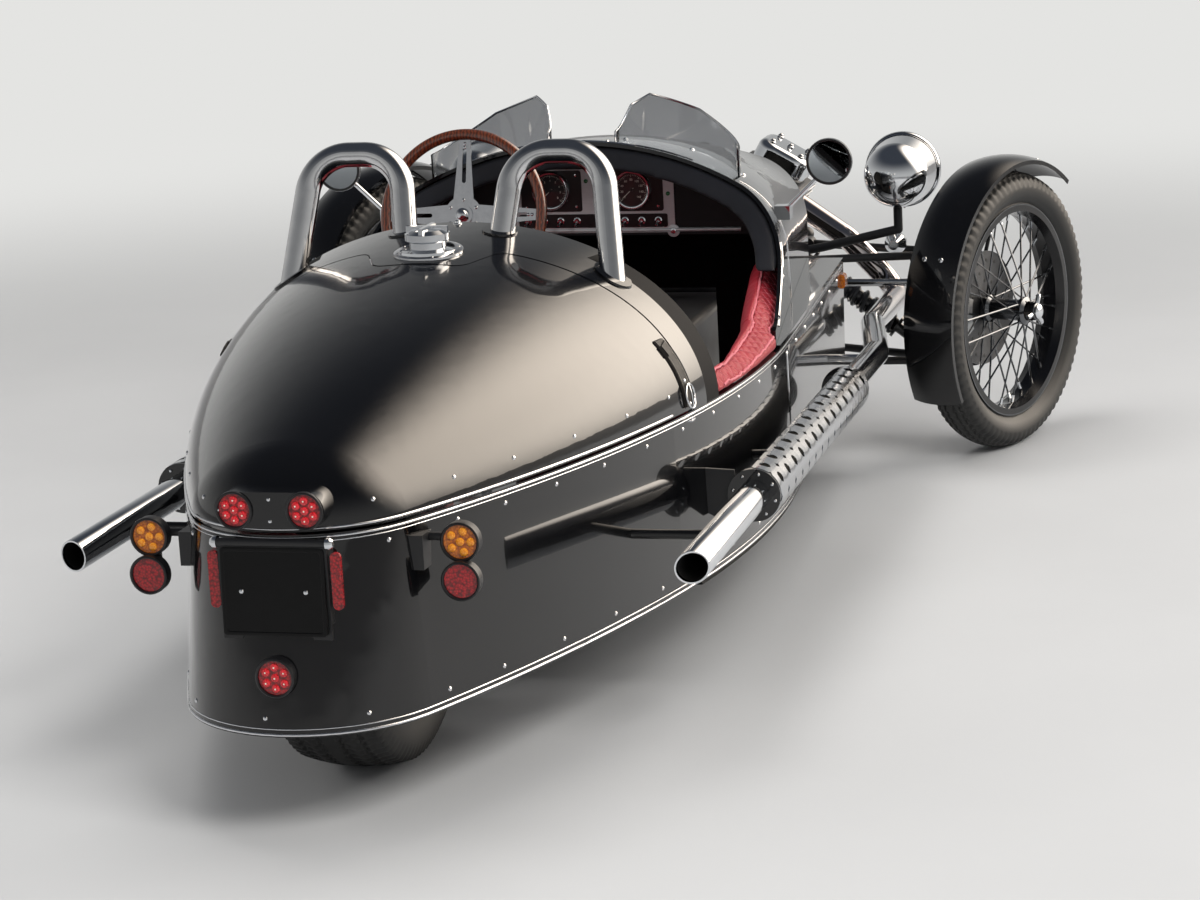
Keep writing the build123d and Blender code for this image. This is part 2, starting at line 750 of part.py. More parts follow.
def lens(row, side):
    """A round lens, set into its shell."""
    with BuildPart() as disc:
        with BuildSketch(Plane(origin=mirrored(row, side), x_dir=(1, 0, 0), z_dir=(0, -1, 0))):
            Circle(LENS_RADIUS)
        extrude(amount=LENS_RECESS)
    return disc.part


with BuildPart() as lamp_shells:
    for side in (1, -1):
        add(lamp_shell(INDICATOR, side))
        add(lamp_shell(REFLECTOR, side))
        with Locations(mirrored((INDICATOR[0] - 2, INDICATOR[1] - 22, 442.0), side)):
            Box(10, 16, 30)
        with Locations(mirrored((196.0, 2718.0, 457.0), side)):
            Box(34, 50, 58)
        add(
            bar(
                mirrored((200.0, INDICATOR[1] - 22, 476.0), side),
                mirrored((INDICATOR[0], INDICATOR[1] - 22, 476.0), side),
                7,
            )
        )
    add(lamp_shell(LOW_LAMP, 1))
    add(hull_form(-SEAT_GAP), mode=Mode.SUBTRACT)
write("lamp_shells", lamp_shells)

with BuildPart() as red_lenses:
    for side in (1, -1):
        add(lens(REFLECTOR, side))
        with BuildSketch(section_plane(HINGE_STATION - 2)):
            with Locations((side * (PLATE_WIDTH / 2 + 12), 440)):
                SlotOverall(96, 18, rotation=90)
        extrude(amount=6)
    add(lens(LOW_LAMP, 1))
write("red_lenses", red_lenses)

with BuildPart() as amber_lenses:
    for side in (1, -1):
        add(lens(INDICATOR, side))
        with BuildSketch(section_plane(SIDE_MARKER[1] + 14)):
            with Locations((side * SIDE_MARKER[0], SIDE_MARKER[2])):
                SlotOverall(34, 16, rotation=90)
        extrude(amount=30)
    add(hull_form(-SEAT_GAP), mode=Mode.SUBTRACT)
write("amber_lenses", amber_lenses)

# Frame: paired tubes by their two ends, then cross tubes by half width, station and height
FRAME_PAIRS = (
    ((LOWER_RAIL_X, FRAME_NOSE_STATION, LOWER_RAIL_Z), (LOWER_RAIL_X, PIVOT_STATION, LOWER_RAIL_Z)),
    ((UPPER_RAIL_X, FRAME_NOSE_STATION, UPPER_RAIL_Z), (UPPER_RAIL_X, 320.0, UPPER_RAIL_Z)),
    (
        (LOWER_RAIL_X, FRAME_NOSE_STATION, LOWER_RAIL_Z),
        (UPPER_RAIL_X, FRAME_NOSE_STATION, UPPER_RAIL_Z),
    ),
    ((LOWER_RAIL_X, 300.0, LOWER_RAIL_Z), (UPPER_RAIL_X, 300.0, UPPER_RAIL_Z)),
    ((LOWER_RAIL_X, PIVOT_STATION, LOWER_RAIL_Z), (LOWER_RAIL_X, PIVOT_STATION, PIVOT_Z)),
)
FRAME_CROSS = (
    (LOWER_RAIL_X, FRAME_NOSE_STATION, LOWER_RAIL_Z),
    (UPPER_RAIL_X, FRAME_NOSE_STATION, UPPER_RAIL_Z),
    (UPPER_RAIL_X, 300.0, UPPER_RAIL_Z),
    (LOWER_RAIL_X, 1740.0, LOWER_RAIL_Z),
    (LOWER_RAIL_X, PIVOT_STATION, PIVOT_Z),
)
OUTRIGGER_STATIONS = (430.0, 1150.0, 1790.0)
HEADLAMP = (540.0, 0.0, 674.0)
HEADLAMP_RADIUS = 92.0
LAMP_STAY = ((UPPER_RAIL_X, 10.0, UPPER_RAIL_Z), (350.0, 10.0, 497.0), (540.0, 10.0, 540.0))


LAMP_GLASS_RADIUS = 84.0
LAMP_BACK_RADIUS = 80.0
LAMP_BACK_CENTRE = 10.0
LAMP_TAPER = 7.8
GLASS_THICKNESS = 6.0


def headlamp_bowl(grow=0.0, hollow=False):
    """Bullet bowl of a headlamp with its rolled rim, open forward when hollow."""
    radius = HEADLAMP_RADIUS + grow
    front = -95 - grow
    centre = mirrored(HEADLAMP, 1)
    with BuildPart() as bowl:
        with BuildSketch(Plane(origin=centre, x_dir=(1, 0, 0), z_dir=(0, 0, 1))):
            with BuildLine():
                back = CenterArc((0, LAMP_BACK_CENTRE), LAMP_BACK_RADIUS + grow, LAMP_TAPER, 90 - LAMP_TAPER)
                rim = Polyline((radius, front), (radius, -80), (radius - 4, -76), back @ 0)
                if hollow:
                    seat = LAMP_GLASS_RADIUS + SEAT_GAP
                    ledge = front + GLASS_THICKNESS + SEAT_GAP
                    Polyline(
                        back @ 1,
                        (0, ledge + 20),
                        (seat - 8, ledge + 20),
                        (seat - 8, ledge),
                        (seat, ledge),
                        (seat, front),
                        rim @ 0,
                    )
                else:
                    Polyline(back @ 1, (0, front), rim @ 0)
            make_face()
        revolve(axis=Axis(centre, (0, 1, 0)), revolution_arc=360)
    return bowl.part


with BuildPart() as outriggers:
    for station in OUTRIGGER_STATIONS:
        for side in (1, -1):
            add(
                bar(
                    spot(side * LOWER_RAIL_X, station, LOWER_RAIL_Z),
                    spot(side * 600, station, LOWER_RAIL_Z),
                    RAIL_DIAMETER / 2,
                )
            )
    add(hull_form(WALL + SEAT_GAP), mode=Mode.INTERSECT)

with BuildPart() as chassis_frame:
    for start, end in FRAME_PAIRS:
        for side in (1, -1):
            add(bar(mirrored(start, side), mirrored(end, side), RAIL_DIAMETER / 2))
    for half, station, z in FRAME_CROSS:
        add(bar(spot(-half, station, z), spot(half, station, z), RAIL_DIAMETER / 2))
    for half, station, z in (FRAME_CROSS[0], FRAME_CROSS[1], FRAME_CROSS[-1]):
        for side in (1, -1):
            with Locations(mirrored((half, station, z), side)):
                Sphere(RAIL_DIAMETER / 2)
    add(outriggers.part)
    post = LAMP_STAY[-1]
    for side in (1, -1):
        for start, end in zip(LAMP_STAY, LAMP_STAY[1:]):
            add(bar(mirrored(start, side), mirrored(end, side), ARM_RADIUS))
        with Locations(mirrored(LAMP_STAY[1], side), mirrored(post, side)):
            Sphere(ARM_RADIUS)
        add(bar(mirrored(post, side), mirrored((post[0], post[1], HEADLAMP[2]), side), ARM_RADIUS))
    add(pair(headlamp_bowl(SEAT_GAP)), mode=Mode.SUBTRACT)
write("chassis_frame", chassis_frame)

# Chrome headlamp bowls, and the small horns hung from their stays
HORN = (522.0, -36.0, 496.0)
HORN_RADIUS = 27.0
with BuildPart() as headlamps:
    add(headlamp_bowl(hollow=True))
    with BuildSketch(Plane(origin=mirrored(HORN, 1), x_dir=(1, 0, 0), z_dir=(0, 0, 1))):
        with BuildLine():
            Polyline((0, -22), (HORN_RADIUS, -22), (HORN_RADIUS, -8), (12, 22), (0, 22), close=True)
        make_face()
    revolve(axis=Axis(mirrored(HORN, 1), (0, 1, 0)), revolution_arc=360)
    stay_z = LAMP_STAY[2][2] - (LAMP_STAY[2][0] - HORN[0]) * (
        (LAMP_STAY[2][2] - LAMP_STAY[1][2]) / (LAMP_STAY[2][0] - LAMP_STAY[1][0])
    )
    add(bar(mirrored((HORN[0], HORN[1] + 4, HORN[2] + 12), 1), spot(HORN[0], LAMP_STAY[2][1], stay_z), 5))
    add(bar(mirrored(LAMP_STAY[1], 1), mirrored(LAMP_STAY[2], 1), ARM_RADIUS + SEAT_GAP), mode=Mode.SUBTRACT)
    mirror(about=Plane.YZ)
write("headlamps", headlamps)

with BuildPart() as headlamp_glasses:
    with BuildSketch(section_plane(HEADLAMP[1] - 95 + GLASS_THICKNESS)):
        with Locations((HEADLAMP[0], HEADLAMP[2]), (-HEADLAMP[0], HEADLAMP[2])):
            Circle(LAMP_GLASS_RADIUS)
    extrude(amount=GLASS_THICKNESS)
write("headlamp_glasses", headlamp_glasses)

# Engine: crankcase with its necks and lugs


def bank_plane(side, distance=0.0):
    """Plane square to one cylinder, at a distance from the crank along it."""
    lean = math.radians(BANK_ANGLE)
    along = Vector(side * math.sin(lean), 0, math.cos(lean))
    crank = Vector(*spot(0, ENGINE_STATION, CRANK_Z))
    return Plane(origin=crank + along * distance, x_dir=(0, 1, 0), z_dir=along)


with BuildPart() as crankcase:
    with BuildSketch(section_plane(CASE_REAR_STATION)):
        with Locations((0, CRANK_Z)):
            Circle(CASE_RADIUS)
    extrude(amount=CASE_REAR_STATION - CASE_FRONT_STATION)
    with BuildSketch(section_plane(CASE_FRONT_STATION)):
        with Locations((0, CRANK_Z)):
            Circle(CASE_RADIUS * 0.7)
    extrude(amount=14)
    for side in (1, -1):
        with BuildSketch(bank_plane(side)):
            Circle(BARREL_RADIUS + 8)
        extrude(amount=BARREL_BASE - SEAT_GAP)
        for station in (-200.0, -20.0):
            with Locations(
                spot(
                    side * (LOWER_RAIL_X - 35),
                    station,
                    LOWER_RAIL_Z + RAIL_DIAMETER / 2 + SEAT_GAP + 7,
                )
            ):
                Box(76, 44, 14)
write("crankcase", crankcase)

# Two finned barrels with their finned heads
FIN_PITCH = (BARREL_TOP - BARREL_BASE) / FIN_COUNT
HEAD_HALF_LENGTH = 82.0
HEAD_FINS = 5
HEAD_PITCH = (HEAD_TOP - BARREL_TOP) / HEAD_FINS
with BuildPart() as cylinders:
    for side in (1, -1):
        plane = bank_plane(side)
        with BuildSketch(Plane(origin=plane.origin, x_dir=plane.x_dir, z_dir=plane.y_dir)):
            with BuildLine():
                outline = [(0, -BARREL_BASE), (BARREL_RADIUS, -BARREL_BASE)]
                for index in range(FIN_COUNT):
                    base = BARREL_BASE + index * FIN_PITCH
                    outline += [
                        (FIN_RADIUS, -base - FIN_PITCH * 0.40),
                        (FIN_RADIUS, -base - FIN_PITCH * 0.55),
                        (BARREL_RADIUS, -base - FIN_PITCH),
                    ]
                Polyline(*outline, (0, -BARREL_TOP), close=True)
            make_face()
        revolve(axis=Axis(plane.origin, plane.z_dir), revolution_arc=360)
        across = Plane(
            origin=plane.origin + Vector(0, -HEAD_HALF_LENGTH, 0),
            x_dir=plane.y_dir,
            z_dir=(0, 1, 0),
        )
        with BuildSketch(across):
            with BuildLine():
                fins = []
                for index in range(HEAD_FINS):
                    base = BARREL_TOP + index * HEAD_PITCH
                    fins += [
                        (FIN_RADIUS - 14, base),
                        (FIN_RADIUS, base + HEAD_PITCH * 0.35),
                        (FIN_RADIUS, base + HEAD_PITCH * 0.55),
                        (FIN_RADIUS - 14, base + HEAD_PITCH * 0.9),
                    ]
                fins.append((FIN_RADIUS - 14, HEAD_TOP))
                upward = 1 if across.y_dir.Z > 0 else -1
                fins = [(x, upward * y) for x, y in fins]
                Polyline(*fins, *[(-x, y) for x, y in fins[::-1]], close=True)
            make_face()
        extrude(amount=2 * HEAD_HALF_LENGTH)
write("cylinders", cylinders)

# Bright rocker covers
with BuildPart() as rocker_covers:
    for side in (1, -1):
        with BuildSketch(bank_plane(side, HEAD_TOP + SEAT_GAP)):
            RectangleRounded(2 * HEAD_HALF_LENGTH - 12, 2 * FIN_RADIUS - 40, 45)
        extrude(amount=COVER_TOP - HEAD_TOP)
    fillet(faces().sort_by(Axis.Z)[-2:].edges(), 18)
write("rocker_covers", rocker_covers)

# Intake between the heads, with a round air cleaner ahead of it
INTAKE_STATION = ENGINE_STATION
INTAKE_Z = 668.0
with BuildPart() as intake:
    add(bar(spot(-150, INTAKE_STATION, INTAKE_Z), spot(150, INTAKE_STATION, INTAKE_Z), 22))
    for side in (1, -1):
        face = bank_plane(side)
        inward = face.y_dir * side
        inner = face.origin + inward * (FIN_RADIUS + SEAT_GAP)
        split(bisect_by=Plane(origin=inner, z_dir=inward), keep=Keep.TOP)
    with Locations(spot(0, INTAKE_STATION, INTAKE_Z)):
        Box(70, 80, 70)
    with BuildSketch(section_plane(INTAKE_STATION - 40)):
        with Locations((0, INTAKE_Z)):
            Circle(60)
    extrude(amount=60)
write("intake", intake)

# Gearbox behind the engine, one closed block that tapers to the tunnel
GEARBOX_BASE_Z = 190.0
GEARBOX_SECTIONS = ((CASE_REAR_STATION + SEAT_GAP, 226.0, 198.0), (420.0, 210.0, 190.0), (698.0, 96.0, 130.0))
with BuildPart() as gearbox:
    for station, width, height in GEARBOX_SECTIONS:
        with BuildSketch(section_plane(station)):
            with Locations((0, GEARBOX_BASE_Z + height / 2)):
                RectangleRounded(width, height, 20)
    loft(ruled=True)
    with Locations(spot(0, 500, LOWER_RAIL_Z + RAIL_DIAMETER / 2 + SEAT_GAP + 7)):
        Box(2 * LOWER_RAIL_X, 50, 14)
write("gearbox", gearbox)

# Exhaust: header from the head round to the side, then one straight pipe along the hull
HEADER = (
    (268.0, -110.0, 587.0),
    (400.0, -58.0, 509.0),
    (530.0, -50.0, 372.0),
    (526.0, 330.0, 366.0),
    (PIPE_X, 560.0, PIPE_Z),
)
BRACKET_STATIONS = (620.0, 1560.0, 2180.0)
with BuildPart() as exhausts:
    for side in (1, -1):
        add(
            tube(
                [mirrored(row, side) for row in (*HEADER, (PIPE_X, TAILPIPE_END, PIPE_Z))],
                PIPE_DIAMETER,
                bend=75,
            )
        )
        with Locations(
            Plane(origin=spot(side * PIPE_X, TAILPIPE_END, PIPE_Z), z_dir=(0, 1, 0))
        ):
            Cylinder(PIPE_DIAMETER / 2 - PIPE_WALL, 300, mode=Mode.SUBTRACT)
        for station in BRACKET_STATIONS:
            add(
                bar(
                    spot(side * (PIPE_X - 10), station, PIPE_Z),
                    spot(side * 300, station, PIPE_Z),
                    9,
                )
            )
    add(hull_form(-SEAT_GAP), mode=Mode.SUBTRACT)
    for side in (1, -1):
        with BuildSketch(bank_plane(side)):
            Rectangle(2 * (HEAD_HALF_LENGTH + SEAT_GAP), 2 * (FIN_RADIUS + SEAT_GAP))
        extrude(amount=HEAD_TOP, mode=Mode.SUBTRACT)
write("exhausts", exhausts)

# Half-round heat shields on clamp rings
SHIELD_RADIUS = PIPE_DIAMETER / 2 + SHIELD_GAP + SHIELD_THICKNESS
with BuildPart() as heat_shields:
    for side in (1, -1):
        with BuildSketch(section_plane(SHIELD_END)):
            with Locations((side * PIPE_X, PIPE_Z)):
                Circle(SHIELD_RADIUS)
                Circle(SHIELD_RADIUS - SHIELD_THICKNESS, mode=Mode.SUBTRACT)
                with Locations((-side * SHIELD_RADIUS, -4)):
                    Rectangle(2 * SHIELD_RADIUS - 12, 3 * SHIELD_RADIUS, mode=Mode.SUBTRACT)
        extrude(amount=SHIELD_END - SHIELD_START)
        for station in (SHIELD_START + 16, SHIELD_END - 4):
            with BuildSketch(section_plane(station)):
                with Locations((side * PIPE_X, PIPE_Z)):
                    Circle(SHIELD_RADIUS - SHIELD_THICKNESS / 2)
                    Circle(PIPE_DIAMETER / 2 + SEAT_GAP, mode=Mode.SUBTRACT)
            extrude(amount=12)
write("heat_shields", heat_shields)

# Wishbones: a boss on the kingpin line and two arms to eyes beside the rails, one row an arm
LOWER_BOSS_Z = UPRIGHT_BASE_Z - RUNNING_GAP - BALL_BOSS_HEIGHT
UPPER_BOSS_Z = UPRIGHT_TOP_Z + RUNNING_GAP
EYE_RADIUS = 16.0
EYE_STATIONS = (-165.0, 95.0)
WISHBONES = (
    (LOWER_BOSS_Z, LOWER_RAIL_X, LOWER_RAIL_Z),
    (UPPER_BOSS_Z, UPPER_RAIL_X, UPPER_RAIL_Z),
)
with BuildPart() as wishbones:
    for boss_z, rail_x, rail_z in WISHBONES:
        with Locations(spot(KINGPIN_X, KINGPIN_STATION, boss_z)):
            Cylinder(
                BALL_BOSS_RADIUS,
                BALL_BOSS_HEIGHT,
                align=(Align.CENTER, Align.CENTER, Align.MIN),
            )
        for station in EYE_STATIONS:
            eye_x = rail_x + RAIL_DIAMETER / 2 + SEAT_GAP + EYE_RADIUS
            add(
                bar(
                    spot(eye_x, station - 20, rail_z), spot(eye_x, station + 20, rail_z), EYE_RADIUS
                )
            )
            add(
                bar(
                    spot(KINGPIN_X, KINGPIN_STATION, boss_z + BALL_BOSS_HEIGHT / 2),
                    spot(eye_x, station, rail_z),
                    ARM_RADIUS - 1,
                )
            )
    mirror(about=Plane.YZ)
write("wishbones", wishbones)

# Coil-overs from the upper rail down to a clevis on the lower wishbone
SPRING_RADIUS = 27.0
DAMPER_RADIUS = 14.0
SPRING_TURNS = 9
DAMPER_TOP = Vector(
    *spot(UPPER_RAIL_X + RAIL_DIAMETER / 2 + SEAT_GAP + EYE_RADIUS, KINGPIN_STATION, UPPER_RAIL_Z)
)
DAMPER_FOOT = Vector(*spot(590, KINGPIN_STATION, 236))
with BuildPart() as coil_overs:
    run = DAMPER_FOOT - DAMPER_TOP
    add(bar(DAMPER_TOP - Vector(0, 18, 0), DAMPER_TOP + Vector(0, 18, 0), EYE_RADIUS))
    along = run.normalized()
    spring_plane = Plane(origin=DAMPER_TOP, x_dir=along, z_dir=Vector(0, 1, 0))
    with BuildSketch(spring_plane):
        with BuildLine():
            coil = [(0, 0), (0, DAMPER_RADIUS), (36, DAMPER_RADIUS), (36, SPRING_RADIUS + 3)]
            coil += [(44, SPRING_RADIUS + 3), (44, DAMPER_RADIUS)]
            pitch = (run.length - 90 - 52) / SPRING_TURNS
            for index in range(SPRING_TURNS):
                coil += [
                    (46 + pitch * (index + 0.15), SPRING_RADIUS - 8),
                    (46 + pitch * (index + 0.5), SPRING_RADIUS),
                    (46 + pitch * (index + 0.85), SPRING_RADIUS - 8),
                ]
            end = run.length - 90
            coil += [(end, DAMPER_RADIUS), (end, SPRING_RADIUS + 3), (end + 8, SPRING_RADIUS + 3)]
            coil += [(end + 8, DAMPER_RADIUS), (run.length, DAMPER_RADIUS), (run.length, 0)]
            Polyline(*coil, close=True)
        make_face()
    revolve(axis=Axis(DAMPER_TOP, along), revolution_arc=360)
    mirror(about=Plane.YZ)
write("coil_overs", coil_overs)

# Steering rack: housing clamped under the upper rails, and the rod with its ends that slides in it
HOUSING_HALF = 292.0
with BuildPart() as rack_housing:
    add(bar(spot(-HOUSING_HALF, RACK_STATION, RACK_Z), spot(HOUSING_HALF, RACK_STATION, RACK_Z), RACK_HOUSING_RADIUS))
    add(
        bar(
            spot(PINION_END[0], RACK_STATION - 20, RACK_Z + 4),
            spot(*PINION_END),
            20,
        )
    )
    for side in (1, -1):
        with Locations(spot(side * (UPPER_RAIL_X - 8), RACK_STATION, (RACK_Z + UPPER_RAIL_Z) / 2)):
            Box(16, 30, UPPER_RAIL_Z - RACK_Z)
    for side in (1, -1):
        add(
            bar(
                spot(side * UPPER_RAIL_X, RACK_STATION - 60, UPPER_RAIL_Z),
                spot(side * UPPER_RAIL_X, RACK_STATION + 60, UPPER_RAIL_Z),
                RAIL_DIAMETER / 2 + SEAT_GAP,
            ),
            mode=Mode.SUBTRACT,
        )
    add(
        bar(
            spot(-400, RACK_STATION, RACK_Z),
            spot(400, RACK_STATION, RACK_Z),
            RACK_ROD_RADIUS + RUNNING_GAP,
        ),
        mode=Mode.SUBTRACT,
    )
write("rack_housing", rack_housing)

TIE_EYE_RADIUS = 13.0
TIE_EYE_STAND = 2.0
REST_TURN = math.radians(-STEER_AT_REST)
RACK_REST_SHIFT = STEERING_ARM_LENGTH * math.sin(REST_TURN)
with BuildPart() as rack_tie_rods:
    ends = [side * KINGPIN_X + RACK_REST_SHIFT for side in (-1, 1)]
    add(bar(spot(ends[0], RACK_STATION, RACK_Z), spot(ends[1], RACK_STATION, RACK_Z), RACK_ROD_RADIUS))
    for end in ends:
        with Locations(spot(end, RACK_STATION, RACK_Z)):
            Cylinder(TIE_EYE_RADIUS, 2 * (RACK_ROD_RADIUS + TIE_EYE_STAND))
write("rack_tie_rods", rack_tie_rods)

# Steering wheel: wooden rim, three slotted spokes on a round boss
COLUMN_AXIS = Vector(
    0, math.cos(math.radians(COLUMN_LEAN)), math.sin(math.radians(COLUMN_LEAN))
)
WHEEL_PLANE = Plane(origin=spot(*WHEEL_HUB), x_dir=(1, 0, 0), z_dir=COLUMN_AXIS)
with BuildPart() as steering_rim:
    with BuildSketch(
        Plane(
            origin=WHEEL_PLANE.origin + WHEEL_PLANE.x_dir * WHEEL_RIM_RADIUS,
            x_dir=(1, 0, 0),
            z_dir=WHEEL_PLANE.y_dir,
        )
    ):
        Circle(WHEEL_RIM_THICKNESS / 2)
    revolve(axis=Axis(WHEEL_PLANE.origin, COLUMN_AXIS), revolution_arc=360)
write("steering_rim", steering_rim)

SPOKE_REACH = WHEEL_RIM_RADIUS - WHEEL_RIM_THICKNESS / 2 - SEAT_GAP
with BuildPart() as steering_spokes:
    with BuildSketch(WHEEL_PLANE.offset(-SPOKE_THICKNESS / 2)):
        Circle(WHEEL_BOSS_RADIUS)
        for turn in (0, 180, 270):
            with BuildLine(Plane.XY.rotated((0, 0, turn))):
                Polyline((20, -24), (SPOKE_REACH, -12), (SPOKE_REACH, 12), (20, 24), close=True)
            make_face()
        for turn in (0, 180, 270):
            with PolarLocations(108, 1, start_angle=turn):
                SlotOverall(76, 9, mode=Mode.SUBTRACT)
    extrude(amount=SPOKE_THICKNESS)
    with BuildSketch(WHEEL_PLANE.offset(-14)):
        Circle(COLUMN_RADIUS + 8)
    extrude(amount=20)
write("steering_spokes", steering_spokes)

# Steering column from the wheel's boss through the bulkhead to the pinion
COLUMN_KNEE = spot(WHEEL_HUB[0], COLUMN_KNEE_STATION, column_z(COLUMN_KNEE_STATION))
with BuildPart() as steering_column:
    top = WHEEL_PLANE.origin - COLUMN_AXIS * (14 + RUNNING_GAP)
    add(bar(top, COLUMN_KNEE, COLUMN_RADIUS))
    with Locations(COLUMN_KNEE):
        Sphere(COLUMN_RADIUS + 3)
    pinion_end = Vector(*spot(*PINION_END))
    lean_back = Vector(0, 66, 19).normalized()
    add(bar(COLUMN_KNEE, pinion_end, COLUMN_RADIUS - 4))
    split(bisect_by=Plane(origin=pinion_end + lean_back * SEAT_GAP, z_dir=lean_back), keep=Keep.TOP)
write("steering_column", steering_column)


def steered(name, left_piece):
    """Write a piece of the left front wheel and its mirror on the right, turned to the rest pose."""
    for side, word in ((1, "left"), (-1, "right")):
        pin = mirrored((KINGPIN_X, KINGPIN_STATION, 0), side)
        with BuildPart() as placed:
            add(left_piece)
            if side < 0:
                mirror(about=Plane.YZ, mode=Mode.REPLACE)
        turned = placed.part.rotate(Axis(pin, (0, 0, 1)), STEER_AT_REST)
        turned.label = f"{name}_{word}"
        export_step(turned, f"parts/{name}_{word}.step")


# Front wheel sets are drawn straight ahead, on the left, about their own axis
WHEEL_CENTRE = spot(FRONT_WHEEL_PLANE, KINGPIN_STATION, FRONT_TYRE_RADIUS)
ACROSS = Plane(origin=WHEEL_CENTRE, x_dir=(1, 0, 0), z_dir=(0, -1, 0))
SPIN = Axis(WHEEL_CENTRE, (1, 0, 0))
HALF_RIM = FRONT_RIM_WIDTH / 2
SEAT_HALF = HALF_RIM - FLANGE_THICKNESS


def around(angle, radius, across):
    """Point of the front wheel at an angle ahead of its top, a radius and an offset."""
    turn = math.radians(angle)
    centre = Vector(*WHEEL_CENTRE)
    return centre + Vector(across, -radius * math.sin(turn), radius * math.cos(turn))


with BuildPart() as front_tyre:
    with BuildSketch(ACROSS):
        with BuildLine():
            base = Line(
                (-SEAT_HALF + SEAT_GAP, FRONT_BEAD_RADIUS + SEAT_GAP),
                (SEAT_HALF - SEAT_GAP, FRONT_BEAD_RADIUS + SEAT_GAP),
            )
            bead = Line(base @ 1, (SEAT_HALF - SEAT_GAP, FRONT_BEAD_RADIUS + FLANGE_HEIGHT + 3))
            wall = ThreePointArc(
                bead @ 1,
                (FRONT_TYRE_WIDTH / 2, FRONT_TYRE_RADIUS - 42),
                (FRONT_TYRE_WIDTH / 2 - 8, FRONT_TYRE_RADIUS - 14),
            )
            crown = ThreePointArc(
                wall @ 1, (0, FRONT_TYRE_RADIUS), (-(FRONT_TYRE_WIDTH / 2 - 8), FRONT_TYRE_RADIUS - 14)
            )
            mirror(bead, about=Plane.YZ)
            mirror(wall, about=Plane.YZ)
        make_face()
    revolve(axis=SPIN, revolution_arc=360)
steered("tyre", front_tyre.part)

SPOKE_ROWS = ((-38.0, 1), (-38.0, -1), (56.0, 1), (56.0, -1))
with BuildPart() as wire_wheel:
    with BuildSketch(ACROSS):
        with BuildLine():
            half = [
                (HALF_RIM, FRONT_BEAD_RADIUS + FLANGE_HEIGHT),
                (SEAT_HALF, FRONT_BEAD_RADIUS + FLANGE_HEIGHT),
                (SEAT_HALF, FRONT_BEAD_RADIUS),
            ]
            inner = [
                (HALF_RIM, FRONT_BEAD_RADIUS - 5),
                (HALF_RIM * 0.45, FRONT_BEAD_RADIUS - FRONT_RIM_DEPTH),
            ]
            Polyline(
                *half,
                *[(-x, z) for x, z in half[::-1]],
                *[(-x, z) for x, z in inner],
                *inner[::-1],
                close=True,
            )
        make_face()
        with BuildLine():
            Polyline(
                (-62, SPINDLE_RADIUS + RUNNING_GAP),
                (-62, HUB_RADIUS - 4),
                (-44, HUB_RADIUS - 4),
                (-44, HUB_RADIUS),
                (-34, HUB_RADIUS),
                (-28, HUB_BARREL),
                (46, HUB_BARREL),
                (52, HUB_RADIUS),
                (62, HUB_RADIUS),
                (68, CAP_RADIUS),
                (92, CAP_RADIUS - 3),
                (100, CAP_RADIUS - 14),
                (100, 0),
                (70, 0),
                (70, SPINDLE_RADIUS + RUNNING_GAP),
                close=True,
            )
        make_face()
    revolve(axis=SPIN, revolution_arc=360)
    for row, (across, lean) in enumerate(SPOKE_ROWS):
        for index in range(SPOKES_PER_ROW):
            angle = 360 / SPOKES_PER_ROW * (index + row / len(SPOKE_ROWS))
            add(
                bar(
                    around(angle, HUB_RADIUS - 3, across),
                    around(angle + lean * SPOKE_LEAN, FRONT_BEAD_RADIUS - FRONT_RIM_DEPTH + 3, across * 0.2),
                    SPOKE_RADIUS,
                    sides=6,
                )
            )
    with BuildSketch(ACROSS):
        with Locations((-DISC_INSET, (DISC_RADIUS + HUB_RADIUS - 4 + SEAT_GAP) / 2)):
            Rectangle(DISC_THICKNESS, DISC_RADIUS - HUB_RADIUS + 4 - SEAT_GAP)
    revolve(axis=SPIN, revolution_arc=360)
steered("wire_wheel", wire_wheel.part)

# Brake caliper that straddles the disc behind the hub
CALIPER_SPAN = 46.0
CALIPER_GAP = 5.2
CALIPER_LEG = 11.0
DISC_NEAR = -DISC_INSET - DISC_THICKNESS / 2 - CALIPER_GAP
DISC_FAR = -DISC_INSET + DISC_THICKNESS / 2 + CALIPER_GAP
with BuildPart() as caliper:
    with BuildSketch(ACROSS):
        with BuildLine():
            Polyline(
                (DISC_NEAR - CALIPER_LEG, 92),
                (DISC_NEAR, 92),
                (DISC_NEAR, DISC_RADIUS + CALIPER_GAP),
                (DISC_FAR, DISC_RADIUS + CALIPER_GAP),
                (DISC_FAR, 92),
                (DISC_FAR + CALIPER_LEG, 92),
                (DISC_FAR + CALIPER_LEG, DISC_RADIUS + 18),
                (DISC_NEAR - CALIPER_LEG, DISC_RADIUS + 18),
                close=True,
            )
        make_face()
    revolve(axis=Axis(WHEEL_CENTRE, (-1, 0, 0)), revolution_arc=CALIPER_SPAN)

